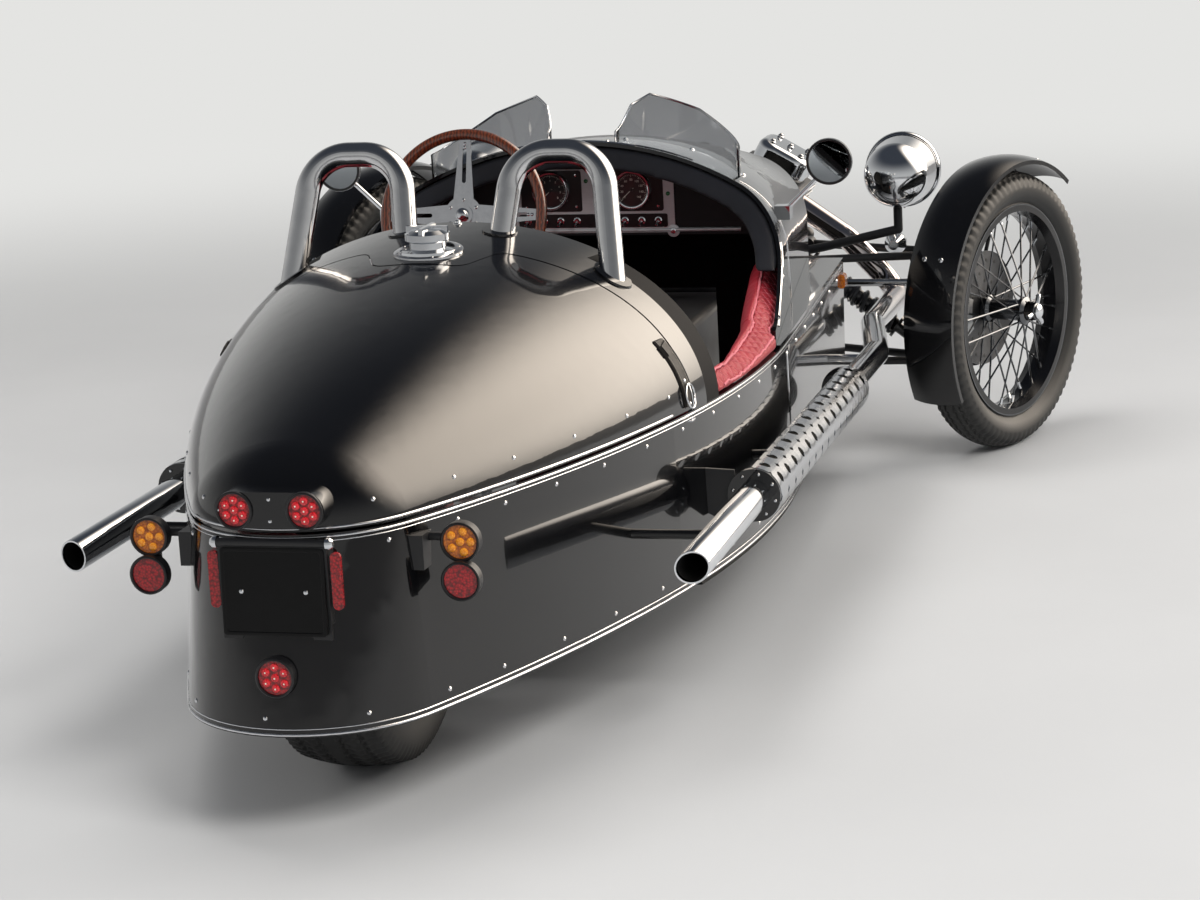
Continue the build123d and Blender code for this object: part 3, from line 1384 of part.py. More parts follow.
# Knuckle: upright, spindle, steering arm, caliper bracket and the seat of the mudguard's stays
STAY_SEAT_X = KINGPIN_X + UPRIGHT_RADIUS + 1.0
STAY_SEAT_Z = 420.0
with BuildPart() as knuckle:
    with BuildSketch(Plane.XY.offset(UPRIGHT_BASE_Z)):
        with Locations(spot(KINGPIN_X, KINGPIN_STATION, 0)[:2]):
            Circle(UPRIGHT_RADIUS)
    extrude(amount=UPRIGHT_TOP_Z - UPRIGHT_BASE_Z)
    add(
        bar(
            spot(KINGPIN_X, KINGPIN_STATION, FRONT_TYRE_RADIUS),
            spot(FRONT_WHEEL_PLANE + 68, KINGPIN_STATION, FRONT_TYRE_RADIUS),
            SPINDLE_RADIUS,
        )
    )
    with BuildSketch(Plane.XY.offset(STEERING_ARM_Z - 8)):
        with Locations(spot(KINGPIN_X, KINGPIN_STATION + STEERING_ARM_LENGTH / 2, 0)[:2]):
            SlotOverall(STEERING_ARM_LENGTH + 28, 28, rotation=90)
    extrude(amount=16)
    add(caliper.part.rotate(SPIN, CALIPER_SPAN / 2 - 90))
    bracket_face = FRONT_WHEEL_PLANE + DISC_NEAR - CALIPER_LEG
    with BuildSketch(Plane.YZ.offset(KINGPIN_X)):
        with BuildLine():
            Polyline(
                (y_at(KINGPIN_STATION), FRONT_TYRE_RADIUS - 30),
                (y_at(KINGPIN_STATION + 125), FRONT_TYRE_RADIUS - 40),
                (y_at(KINGPIN_STATION + 125), FRONT_TYRE_RADIUS + 40),
                (y_at(KINGPIN_STATION), FRONT_TYRE_RADIUS + 30),
                close=True,
            )
        make_face()
    extrude(amount=bracket_face - KINGPIN_X + 0.5)
    with Locations(spot(STAY_SEAT_X - 9, KINGPIN_STATION, STAY_SEAT_Z)):
        Box(18, 40, 26)
steered("knuckle", knuckle.part)

# Cycle mudguard over the wheel, with two stays down to the knuckle
LIP = 10.0
GUARD_CROWN = 12.0
STAY_RADIUS = 5.0
STAY_ANGLES = (22.0, -62.0)
with BuildPart() as guard_shell:
    with BuildSketch(ACROSS):
        with BuildLine():
            edge = GUARD_RADIUS - GUARD_CROWN
            half = GUARD_WIDTH / 2
            thick = GUARD_THICKNESS
            outer = ThreePointArc((-half, edge), (0, GUARD_RADIUS), (half, edge))
            inner = ThreePointArc(
                (half - thick, edge - thick), (0, GUARD_RADIUS - thick), (thick - half, edge - thick)
            )
            Polyline(outer @ 1, (half, edge - LIP), (half - thick, edge - LIP), inner @ 0)
            Polyline(inner @ 1, (thick - half, edge - LIP), (-half, edge - LIP), outer @ 0)
        make_face()
    revolve(axis=Axis(WHEEL_CENTRE, (-1, 0, 0)), revolution_arc=GUARD_SWEEP)

with BuildPart() as mudguard:
    add(guard_shell.part.rotate(SPIN, GUARD_AHEAD))
    foot_x = STAY_SEAT_X + SEAT_GAP + 2.5
    with Locations(spot(foot_x, KINGPIN_STATION, STAY_SEAT_Z)):
        Box(5, 44, 30)
    for angle in STAY_ANGLES:
        add(
            bar(
                Vector(*spot(foot_x + 4, KINGPIN_STATION, STAY_SEAT_Z))
                + Vector(0, math.copysign(14, -angle), 0),
                around(angle, GUARD_RADIUS - GUARD_CROWN - 3, GUARD_THICKNESS / 2 - GUARD_WIDTH / 2),
                STAY_RADIUS,
            )
        )
steered("mudguard", mudguard.part)

# Rear wheel: tyre, dished rim with its disc, and the swing arm that carries them
REAR_CENTRE = spot(0, REAR_AXLE_STATION, REAR_TYRE_RADIUS)
REAR_ACROSS = Plane(origin=REAR_CENTRE, x_dir=(1, 0, 0), z_dir=(0, -1, 0))
REAR_SPIN = Axis(REAR_CENTRE, (1, 0, 0))
REAR_HALF_RIM = REAR_RIM_WIDTH / 2
REAR_SEAT = REAR_HALF_RIM - 5
with BuildPart() as rear_tyre:
    with BuildSketch(REAR_ACROSS):
        with BuildLine():
            base = Line(
                (-REAR_SEAT + SEAT_GAP, REAR_BEAD_RADIUS + SEAT_GAP),
                (REAR_SEAT - SEAT_GAP, REAR_BEAD_RADIUS + SEAT_GAP),
            )
            bead = Line(base @ 1, (REAR_SEAT - SEAT_GAP, REAR_BEAD_RADIUS + 18))
            wall = ThreePointArc(
                bead @ 1,
                (REAR_TYRE_WIDTH / 2, REAR_TYRE_RADIUS - 60),
                (REAR_TYRE_WIDTH / 2 - 12, REAR_TYRE_RADIUS - 12),
            )
            crown = ThreePointArc(
                wall @ 1, (0, REAR_TYRE_RADIUS), (12 - REAR_TYRE_WIDTH / 2, REAR_TYRE_RADIUS - 12)
            )
            mirror(bead, about=Plane.YZ)
            mirror(wall, about=Plane.YZ)
        make_face()
    revolve(axis=REAR_SPIN, revolution_arc=360)
write("rear_tyre", rear_tyre)

with BuildPart() as rear_rim:
    with BuildSketch(REAR_ACROSS):
        with BuildLine():
            Polyline(
                (REAR_HALF_RIM, REAR_BEAD_RADIUS + 14),
                (REAR_SEAT, REAR_BEAD_RADIUS + 14),
                (REAR_SEAT, REAR_BEAD_RADIUS),
                (-REAR_SEAT, REAR_BEAD_RADIUS),
                (-REAR_SEAT, REAR_BEAD_RADIUS + 14),
                (-REAR_HALF_RIM, REAR_BEAD_RADIUS + 14),
                (-REAR_HALF_RIM, REAR_BEAD_RADIUS - 8),
                (6, REAR_BEAD_RADIUS - 16),
                (6, 60),
                (90, 60),
                (90, AXLE_RADIUS + RUNNING_GAP),
                (-90, AXLE_RADIUS + RUNNING_GAP),
                (-90, 48),
                (-14, 60),
                (-14, REAR_BEAD_RADIUS - 28),
                (REAR_HALF_RIM, REAR_BEAD_RADIUS - 8),
                close=True,
            )
        make_face()
    revolve(axis=REAR_SPIN, revolution_arc=360)
write("rear_rim", rear_rim)

ARM_TUBE = 20.0
with BuildPart() as swing_arm:
    for side in (1, -1):
        pivot = spot(side * SWING_ARM_X, PIVOT_STATION, PIVOT_Z)
        axle = spot(side * SWING_ARM_X, REAR_AXLE_STATION, REAR_TYRE_RADIUS)
        add(bar(pivot, axle, ARM_TUBE))
        for centre, radius in ((pivot, RAIL_DIAMETER / 2 + 12), (axle, ARM_TUBE + 6)):
            add(
                bar(
                    Vector(*centre) - Vector(15, 0, 0), Vector(*centre) + Vector(15, 0, 0), radius
                )
            )
    brace_station = (PIVOT_STATION + REAR_AXLE_STATION - REAR_TYRE_RADIUS) / 2
    brace_z = (PIVOT_Z + REAR_TYRE_RADIUS) / 2
    add(
        bar(
            spot(-SWING_ARM_X, brace_station, brace_z),
            spot(SWING_ARM_X, brace_station, brace_z),
            ARM_TUBE - 4,
        )
    )
    add(
        bar(
            spot(-LOWER_RAIL_X, PIVOT_STATION, PIVOT_Z),
            spot(LOWER_RAIL_X, PIVOT_STATION, PIVOT_Z),
            RAIL_DIAMETER / 2 + SEAT_GAP,
        ),
        mode=Mode.SUBTRACT,
    )
    add(
        bar(
            spot(-SWING_ARM_X - 24, REAR_AXLE_STATION, REAR_TYRE_RADIUS),
            spot(SWING_ARM_X + 24, REAR_AXLE_STATION, REAR_TYRE_RADIUS),
            AXLE_RADIUS,
        )
    )
write("swing_arm", swing_arm)

# Windscreens: two curved smoked screens on the cowl, top outline in front view
SCREEN_CENTRE = (212.0, 905.0)
SCREEN_RADIUS = 138.0
SCREEN_THICKNESS = 4.0
SCREEN_OUTLINE = ((76, 780), (76, 905), (96, 955), (130, 974), (235, 935), (352, 860), (352, 780))
with BuildPart() as windscreens:
    for side in (1, -1):
        with BuildSketch(Plane.XY.offset(780)):
            with Locations(spot(side * SCREEN_CENTRE[0], SCREEN_CENTRE[1], 0)[:2]):
                Circle(SCREEN_RADIUS)
                Circle(SCREEN_RADIUS - SCREEN_THICKNESS, mode=Mode.SUBTRACT)
            with Locations(spot(side * SCREEN_CENTRE[0], SCREEN_CENTRE[1] + 200, 0)[:2]):
                Rectangle(400, 400, mode=Mode.SUBTRACT)
    extrude(amount=220)
    with BuildSketch(section_plane(SCREEN_CENTRE[1] + 10)):
        for side in (1, -1):
            with BuildLine():
                Polyline(*[(side * x, z) for x, z in SCREEN_OUTLINE], close=True)
            make_face()
    extrude(amount=300, mode=Mode.INTERSECT)
    add(cowl_form(-SEAT_GAP), mode=Mode.SUBTRACT)
write("windscreens", windscreens)

# Round mirrors in turned shells, on stalks from a block on the cowl's side
MIRROR = (555.0, 945.0, 838.0)
MIRROR_RADIUS = 50.0
MIRROR_BLOCK = (448.0, 925.0, 728.0)
with BuildPart() as mirrors:
    with BuildSketch(Plane(origin=mirrored(MIRROR, 1), x_dir=(1, 0, 0), z_dir=(0, 0, 1))):
        with BuildLine():
            Polyline(
                (0, -3),
                (MIRROR_RADIUS - 4, -3),
                (MIRROR_RADIUS - 4, 0),
                (MIRROR_RADIUS, 0),
                (MIRROR_RADIUS, -10),
                (MIRROR_RADIUS - 14, -30),
                (0, -40),
                close=True,
            )
        make_face()
    revolve(axis=Axis(mirrored(MIRROR, 1), (0, 1, 0)), revolution_arc=360)
    add(bar(mirrored(MIRROR_BLOCK, 1), mirrored((MIRROR[0] - 22, MIRROR[1] - 22, MIRROR[2] - 30), 1), 5))
    with Locations(mirrored(MIRROR_BLOCK, 1)):
        Box(34, 34, 30)
    add(cowl_form(-SEAT_GAP), mode=Mode.SUBTRACT)
    mirror(about=Plane.YZ)
write("mirrors", mirrors)
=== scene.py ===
"""Looks of an open three wheeled car, put together in the order of the real one.

Metres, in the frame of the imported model: +X is the car's left, +Y its tail, +Z up.
"""

import math

import bmesh
import bpy
from mathutils import Matrix, Vector
from mathutils.bvhtree import BVHTree
from mathutils.noise import noise


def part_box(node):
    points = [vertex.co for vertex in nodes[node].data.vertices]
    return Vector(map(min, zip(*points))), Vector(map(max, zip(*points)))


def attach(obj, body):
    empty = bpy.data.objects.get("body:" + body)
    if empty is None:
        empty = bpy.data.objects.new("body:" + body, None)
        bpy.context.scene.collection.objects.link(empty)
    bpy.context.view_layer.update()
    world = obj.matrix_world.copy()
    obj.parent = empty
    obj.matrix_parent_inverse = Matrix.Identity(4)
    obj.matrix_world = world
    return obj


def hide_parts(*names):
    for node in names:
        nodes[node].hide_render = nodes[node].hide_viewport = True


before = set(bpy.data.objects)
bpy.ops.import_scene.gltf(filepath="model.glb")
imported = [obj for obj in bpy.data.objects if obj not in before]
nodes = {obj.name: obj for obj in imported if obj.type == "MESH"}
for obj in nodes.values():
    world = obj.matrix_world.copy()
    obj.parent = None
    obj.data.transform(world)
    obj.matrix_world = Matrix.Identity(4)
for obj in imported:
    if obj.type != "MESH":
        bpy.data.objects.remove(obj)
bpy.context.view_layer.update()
SIDE_WORDS = {1: "left", -1: "right"}

# Daylight studio. The car stands on a pale matt floor under large soft lamps, seen from
# behind and above its right rear corner, a little closer to the ground than a standing eye.


def linear(code, alpha=1.0):
    """A screen colour such as #808080 as the linear values of a shader."""
    levels = [int(code[start : start + 2], 16) / 255 for start in (1, 3, 5)]
    return (*[v / 12.92 if v <= 0.04045 else ((v + 0.055) / 1.055) ** 2.4 for v in levels], alpha)


def put(material, kind, sockets=None, **settings):
    """One more node of a material, with its settings, its values and the links that feed it."""
    made = material.node_tree.nodes.new("ShaderNode" + kind)
    for name, value in settings.items():
        setattr(made, name, value)
    for name, value in (sockets or {}).items():
        if isinstance(value, bpy.types.NodeSocket):
            material.node_tree.links.new(value, made.inputs[name])
        else:
            made.inputs[name].default_value = value
    return made


def blank(name):
    """An empty material and its surface socket."""
    material = bpy.data.materials.new(name)
    material.use_nodes = True
    material.node_tree.nodes.clear()
    return material, put(material, "OutputMaterial")


def closed(material, output, shader):
    """Link a shader to the surface of its material."""
    material.node_tree.links.new(shader.outputs[0], output.inputs["Surface"])
    return material


def mesh_piece(name, points, faces, material, body=None, smooth=True):
    """A new object of points and faces that rides on a body."""
    mesh = bpy.data.meshes.new(name)
    mesh.from_pydata([tuple(p) for p in points], [], faces)
    mesh.update()
    if smooth:
        mesh.shade_smooth()
        mesh.set_sharp_from_angle(angle=math.radians(38))
    made = bpy.data.objects.new(name, mesh)
    bpy.context.scene.collection.objects.link(made)
    mesh.materials.append(material)
    if body:
        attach(made, body)
    return made


# Matt pale concrete, dry and swept, with a faint cloudy stain
FADE_START, FADE_END = 1.5, 8.0
floor_concrete, surface = blank("pale_concrete")
spread = put(floor_concrete, "TexCoord").outputs["Object"]
cloud = put(floor_concrete, "TexNoise", {"Vector": spread, "Scale": 1.3, "Detail": 4.0})
tint = put(
    floor_concrete,
    "MapRange",
    {"Value": cloud.outputs["Fac"], "To Min": 0.50, "To Max": 0.56},
)
tone = put(
    floor_concrete,
    "CombineColor",
    {"Red": tint.outputs[0], "Green": tint.outputs[0], "Blue": tint.outputs[0]},
)
matt = put(floor_concrete, "BsdfPrincipled", {"Base Color": tone.outputs[0], "Roughness": 0.82})
away = put(floor_concrete, "VectorMath", {0: spread}, operation="LENGTH")
far_off = put(
    floor_concrete,
    "MapRange",
    {"Value": away.outputs["Value"], "From Min": FADE_START, "From Max": FADE_END},
    interpolation_type="SMOOTHERSTEP",
)
looked_at = put(floor_concrete, "LightPath")
eye_only = put(
    floor_concrete,
    "Math",
    {0: far_off.outputs[0], 1: looked_at.outputs["Is Camera Ray"]},
    operation="MULTIPLY",
)
backdrop = put(floor_concrete, "Emission", {"Color": linear("#e4e4e2"), "Strength": 1.0})
closed(
    floor_concrete,
    surface,
    put(floor_concrete, "MixShader", {0: eye_only.outputs[0], 1: matt.outputs[0], 2: backdrop.outputs[0]}),
)
ring = [(60 * math.cos(i * math.pi / 24), 60 * math.sin(i * math.pi / 24), 0) for i in range(48)]
floor = mesh_piece("studio_floor", ring, [tuple(range(48))], floor_concrete, smooth=False)

scene = bpy.context.scene
scene.view_settings.view_transform = "Standard"
world = bpy.data.worlds.new("daylight")
scene.world = world
world.use_nodes = True
world.node_tree.nodes.clear()
sky_direction = put(world, "TexCoord").outputs["Generated"]
height = put(world, "SeparateXYZ", {"Vector": sky_direction}).outputs["Z"]
rise = put(
    world,
    "MapRange",
    {"Value": height, "From Min": 0.02, "From Max": 0.80},
    interpolation_type="SMOOTHSTEP",
)
sky = put(
    world,
    "MixRGB",
    {"Fac": rise.outputs[0], "Color1": linear("#e4e4e2"), "Color2": linear("#4a4f58")},
)
# Low evening light from ahead and to the right, the broad soft shine on the tail's crown
GLOW_AZIMUTH, GLOW_HEIGHT, GLOW_POWER = math.radians(-144), math.radians(31), 7.5
toward_glow = (
    math.cos(GLOW_HEIGHT) * math.cos(GLOW_AZIMUTH),
    math.cos(GLOW_HEIGHT) * math.sin(GLOW_AZIMUTH),
    math.sin(GLOW_HEIGHT),
)
nearness = put(world, "VectorMath", {0: sky_direction, 1: toward_glow}, operation="DOT_PRODUCT")
glow = put(
    world,
    "MapRange",
    {"Value": nearness.outputs["Value"], "From Min": 0.60, "From Max": 1.0},
    interpolation_type="SMOOTHSTEP",
)
glow_squared = put(world, "Math", {0: glow.outputs[0], 1: 2.0}, operation="POWER")
glow_strength = put(world, "Math", {0: glow_squared.outputs[0], 1: GLOW_POWER}, operation="MULTIPLY")
ray = put(world, "LightPath")
seen = put(
    world,
    "Math",
    {0: ray.outputs["Is Camera Ray"], 1: ray.outputs["Is Transmission Ray"]},
    operation="MAXIMUM",
)
shown = put(world, "Background", {"Color": linear("#e4e4e2"), "Strength": 1.0})
plain_sky = put(world, "Background", {"Color": sky.outputs[0], "Strength": 0.72})
evening = put(world, "Background", {"Color": linear("#fff1e0"), "Strength": glow_strength.outputs[0]})
mirrored_sky = put(world, "AddShader", {0: plain_sky.outputs[0], 1: evening.outputs[0]})
filling = put(world, "Background", {"Color": linear("#e8ebf0"), "Strength": 0.42})
by_gloss = put(
    world,
    "MixShader",
    {0: ray.outputs["Is Glossy Ray"], 1: filling.outputs[0], 2: mirrored_sky.outputs[0]},
)
by_eye = put(world, "MixShader", {0: seen.outputs[0], 1: by_gloss.outputs[0], 2: shown.outputs[0]})
out = put(world, "OutputWorld", {"Surface": by_eye.outputs[0]})

for name, place, aim, width, depth, power in (
    ("key_lamp", (-3.4, 3.6, 4.2), (0, 0.6, 0.4), 2.6, 1.8, 210),
    ("top_lamp", (0.6, -0.4, 4.6), (0, 0.0, 0.5), 3.4, 2.6, 130),
    ("side_lamp", (-4.2, -2.6, 2.0), (0, -0.6, 0.5), 2.4, 1.4, 95),
    ("far_lamp", (4.2, 1.8, 2.6), (0, 0.3, 0.4), 2.6, 1.6, 60),
):
    lamp = bpy.data.lights.new(name, "AREA")
    lamp.shape = "RECTANGLE"
    lamp.size, lamp.size_y, lamp.energy = width, depth, power
    lamp.color = (1.0, 0.985, 0.96)
    holder = bpy.data.objects.new(name, lamp)
    scene.collection.objects.link(holder)
    holder.location = place
    holder.visible_glossy = False  # gloss mirrors the soft sky, not the lamps' hard edges
    holder.rotation_euler = (Vector(aim) - Vector(place)).to_track_quat("-Z", "Y").to_euler()

# Camera: where the photographer stood, how far the lens was turned, and its long focus
EYE = Vector((-1.778, 5.955, 1.702))
YAW, PITCH, ROLL = -1.317, -0.225, -0.050
ahead = Vector((math.cos(PITCH) * math.cos(YAW), math.cos(PITCH) * math.sin(YAW), math.sin(PITCH)))
level = ahead.cross(Vector((0, 0, 1))).normalized()
upright = level.cross(ahead)
across = math.cos(ROLL) * level + math.sin(ROLL) * upright
upward = -math.sin(ROLL) * level + math.cos(ROLL) * upright
lens = bpy.data.cameras.new("camera")
lens.sensor_width = 36.0
lens.lens = 89.92
lens.shift_x, lens.shift_y = -0.0506, -0.0073
camera = bpy.data.objects.new("camera", lens)
scene.collection.objects.link(camera)
camera.matrix_world = Matrix(
    (
        (across.x, upward.x, -ahead.x, EYE.x),
        (across.y, upward.y, -ahead.y, EYE.y),
        (across.z, upward.z, -ahead.z, EYE.z),
        (0, 0, 0, 1),
    )
)
scene.camera = camera

# Body panels. Folded and turned aluminium sheet in deep gloss black, sprayed, flatted and
# polished by hand, so it mirrors the sky with only a trace of ripple.


def spot(x, station, z):
    """Point of the car from millimetres: offset, distance behind the front wheel line, height."""
    return Vector((x, station - 1250.0, z)) / 1000.0


def blended(name, low, high, patch_mm, rough, ripple_mm=0.0, detail=4.0, ripple_patch=None, **sockets):
    """A material whose colour and roughness drift over patches, with a fine ripple or grain."""
    material, output = blank(name)
    place = put(material, "TexCoord").outputs["Object"]
    drift = put(
        material,
        "TexNoise",
        {"Vector": place, "Scale": 1000.0 / patch_mm, "Detail": detail, "Roughness": 0.55},
    )
    tint = put(
        material,
        "MixRGB",
        {"Fac": drift.outputs["Fac"], "Color1": linear(low), "Color2": linear(high)},
    )
    sheen = put(
        material,
        "MapRange",
        {"Value": drift.outputs["Fac"], "To Min": rough[0], "To Max": rough[1]},
    )
    values = {"Base Color": tint.outputs[0], "Roughness": sheen.outputs[0]}
    if ripple_mm:
        grain = put(
            material,
            "TexNoise",
            {"Vector": place, "Scale": 1000.0 / (ripple_patch or patch_mm), "Detail": 3.0},
        )
        values["Normal"] = put(
            material,
            "Bump",
            {"Height": grain.outputs["Fac"], "Distance": ripple_mm / 1000.0, "Strength": 1.0},
        ).outputs[0]
    values.update({key.replace("_", " "): value for key, value in sockets.items()})
    return closed(material, output, put(material, "BsdfPrincipled", values))


# Cellulose black under clear lacquer: near black base that hardly shines itself, since no air
# lies between them, a sharp coat, very slight orange peel
body_lacquer = blended(
    "black_lacquer",
    "#060607",
    "#0b0b0d",
    180,
    (0.16, 0.22),
    ripple_mm=0.012,
    ripple_patch=9,
    Specular_IOR_Level=0.1,
    Coat_Weight=1.0,
    Coat_Roughness=0.03,
)
# Satin chassis black: powder coat, slightly pebbled
powder_black = blended(
    "powder_coat_black", "#101012", "#1a1a1c", 60, (0.36, 0.48), ripple_mm=0.05, ripple_patch=1.6
)
# Black carpet and bitumen paint of the closed-in floor
floor_black = blended(
    "black_carpet", "#080808", "#151515", 5, (0.9, 1.0), ripple_mm=0.8, ripple_patch=2.2
)


def dress(name, material):
    """Give a carried-over piece its finish."""
    mesh = nodes[name].data
    mesh.materials.clear()
    mesh.materials.append(material)


for name in ("lower_body", "cowl", "side_shelves", "tail_lid"):
    dress(name, body_lacquer)
for name in ("floor_pan", "bulkhead"):
    dress(name, floor_black)


def skin(name):
    """Surface of a carried-over piece that trim is laid on."""
    mesh = nodes[name].data
    return BVHTree.FromPolygons([v.co for v in mesh.vertices], [p.vertices for p in mesh.polygons])


def laid(surface_tree, start, toward):
    """Point and outward normal where a line from outside first meets a panel."""
    place, normal, _, _ = surface_tree.ray_cast(start, (toward - start).normalized())
    if place is None:
        return None, None
    if normal.dot(toward - start) > 0:
        normal = -normal
    return place, normal


def girth(surface_tree, z, first_y, half_step=0.02, turn_y=0.9):
    """Places and normals round a panel at one height, from its left front round the tail."""
    row = []
    y = first_y
    while y < turn_y:
        row.append(laid(surface_tree, Vector((1.4, y, z)), Vector((0, y, z))))
        y += half_step
    for index in range(97):
        angle = math.pi * index / 96
        heart = Vector((0, turn_y, z))
        reach = Vector((math.cos(angle), math.sin(angle), 0)) * 1.6
        row.append(laid(surface_tree, heart + reach, heart))
    y = turn_y - half_step
    while y > first_y:
        row.append(laid(surface_tree, Vector((-1.4, y, z)), Vector((0, y, z))))
        y -= half_step
    return [(p, n) for p, n in row if p is not None]


def unbroken(row, widest=0.07):
    """Parts of a row that have no jump between neighbouring places."""
    parts = [[row[0]]]
    for (before, _), here in zip(row, row[1:]):
        if (here[0] - before).length > widest:
            parts.append([])
        parts[-1].append(here)
    return [part for part in parts if len(part) > 2]


def strip(name, row, half_width, rise, material, body):
    """Half-round trim along places and normals of a panel, with its flat side on the panel."""
    points, faces, steps = [], [], 6
    width = steps + 1
    for part in unbroken(row):
        first = len(points)
        for index, (place, normal) in enumerate(part):
            before = part[max(index - 1, 0)][0]
            after = part[min(index + 1, len(part) - 1)][0]
            along = (after - before).normalized()
            side = along.cross(normal).normalized()
            for step in range(width):
                turn = math.pi * step / steps
                lift = math.sin(turn) * rise + 0.0003
                points.append(place + side * math.cos(turn) * half_width + normal * lift)
        for base in range(first, len(points) - width, width):
            for step in range(steps):
                faces.append((base + step, base + step + 1, base + width + step + 1, base + width + step))
            faces.append((base + steps, base, base + width, base + width + steps))
        faces.append(tuple(range(first + steps, first - 1, -1)))
        faces.append(tuple(range(len(points) - width, len(points))))
    return mesh_piece(name, points, faces, material, body)


# Polished aluminium: bright and neutral, with faint buffing marks
polished_aluminium = blended(
    "polished_aluminium", "#c9cacd", "#e4e5e8", 14, (0.10, 0.22), ripple_mm=0.01, Metallic=1.0
)
hull = skin("lower_body")
lid = skin("tail_lid")
seam_row = girth(hull, 0.5075, -0.93)
strip("seam_bead_lower", seam_row, 0.0021, 0.0022, polished_aluminium, "car")
strip("seam_bead_upper", girth(hull, 0.5005, -0.93), 0.0010, 0.0010, polished_aluminium, "car")
strip("lid_bead", girth(lid, 0.5215, 0.75), 0.0022, 0.0022, polished_aluminium, "lid")
strip("skirt_bead_lower", girth(hull, 0.190, -0.93), 0.0024, 0.0026, polished_aluminium, "car")
strip("skirt_bead_upper", girth(hull, 0.199, -0.93), 0.0012, 0.0012, polished_aluminium, "car")


cowl = skin("cowl")
joints = []
for side, hand in SIDE_WORDS.items():
    for panel, word, low, high, foot_y, lean_back in (
        (cowl, "cowl", 0.526, 0.800, -0.402, 0.40),
        (hull, "hull", 0.212, 0.494, 0.020, 0.0),
    ):
        row = []
        for step in range(37):
            z = low + (high - low) * step / 36
            y = foot_y + (z - low) * lean_back
            row.append(laid(panel, Vector((side * 0.9, y, z)), Vector((0, y, z))))
        row = [(p, n) for p, n in row if p is not None]
        joints.append((f"{word}_joint_bead_{hand}", row))
for name, row in joints:
    strip(name, row, 0.0014, 0.0014, polished_aluminium, "car")


def studs(name, row, radius, rise, material, body, sides=10, rings=3):
    """Round heads pressed into a panel at places and normals."""
    points, faces = [], []
    for place, normal in row:
        along = normal.orthogonal().normalized()
        side = normal.cross(along)
        base = len(points)
        for ring_index in range(rings):
            turn = 0.5 * math.pi * ring_index / rings
            for index in range(sides):
                angle = 2 * math.pi * index / sides
                spread = (along * math.cos(angle) + side * math.sin(angle)) * radius
                points.append(place + spread * math.cos(turn) + normal * (rise * math.sin(turn)))
        points.append(place + normal * rise)
        for ring_index in range(rings - 1):
            for index in range(sides):
                a = base + ring_index * sides + index
                b = base + ring_index * sides + (index + 1) % sides
                faces.append((a, b, b + sides, a + sides))
        top = len(points) - 1
        for index in range(sides):
            a = base + (rings - 1) * sides + index
            b = base + (rings - 1) * sides + (index + 1) % sides
            faces.append((a, b, top))
        faces.append(tuple(base + index for index in range(sides - 1, -1, -1)))
    return mesh_piece(name, points, faces, material, body)


def spaced(row, pitch, start=0.0):
    """Every place of a row that is one pitch further along it than the last."""
    kept, run, due = [], 0.0, start
    for (before, _), (place, normal) in zip(row, row[1:]):
        run += (place - before).length
        if run >= due:
            kept.append((place, normal))
            due += pitch
    return kept


# Dome-headed rivets that hold the panels to the frame, in rows beside the beading
studs(
    "hull_rivets", spaced(girth(hull, 0.487, -0.93), 0.142, 0.05), 0.0042, 0.0024,
    polished_aluminium, "car"
)
studs(
    "skirt_rivets", spaced(girth(hull, 0.216, -0.93), 0.165, 0.07), 0.0042, 0.0024,
    polished_aluminium, "car"
)
studs("lid_rivets", spaced(girth(lid, 0.556, 0.70), 0.168, 0.03), 0.0042, 0.0024, polished_aluminium, "lid")

# Rim of the cockpit. A folded aluminium band closes the cowl's rear edge and holds the
# black leather roll against it with small clips.
RIM_REACH, RIM_TOP, RIM_BACK = 0.400, 0.950, 0.100


def rim_row(back_off, count=110):
    """Places and normals on the cowl along its swept rear edge, from right to left over the top."""
    row = []
    reach = RIM_REACH + back_off
    for index in range(count + 1):
        turn = math.radians(-9 + 198 * index / count)
        outward = Vector((-math.cos(turn), 0, math.sin(turn)))
        z, hit = 0.62 + 0.25 * max(math.sin(turn), 0), None
        for _ in range(8):
            y = RIM_BACK - math.sqrt(max(reach**2 - max(RIM_TOP - z, 0) ** 2, 0))
            heart = Vector((0, y, 0.62))
            hit, normal = laid(cowl, heart + outward, heart)
            if hit is None or (hit - heart).dot(outward) < 0.1:
                hit = None
                break
            z = hit.z
        if hit is not None and hit.z > RIM_TOP - reach + 0.002:
            row.append((hit, normal))
    return row


edge_row = rim_row(0.007)
strip("rim_band", edge_row, 0.0058, 0.0030, polished_aluminium, "car")
strip("rim_groove", rim_row(0.0150), 0.0014, 0.0010, body_lacquer, "car")
strip("rim_line", rim_row(0.0195), 0.0022, 0.0020, polished_aluminium, "car")
clips = [edge_row[index] for index in range(4, len(edge_row) - 3, 9)]
studs("rim_clips", clips, 0.0050, 0.0062, polished_aluminium, "car", sides=6)

# Upholstery. Leather over foam: a smooth black roll in the cowl's rim, red side pads with
# diamond quilting, and red seats with sewn channels.


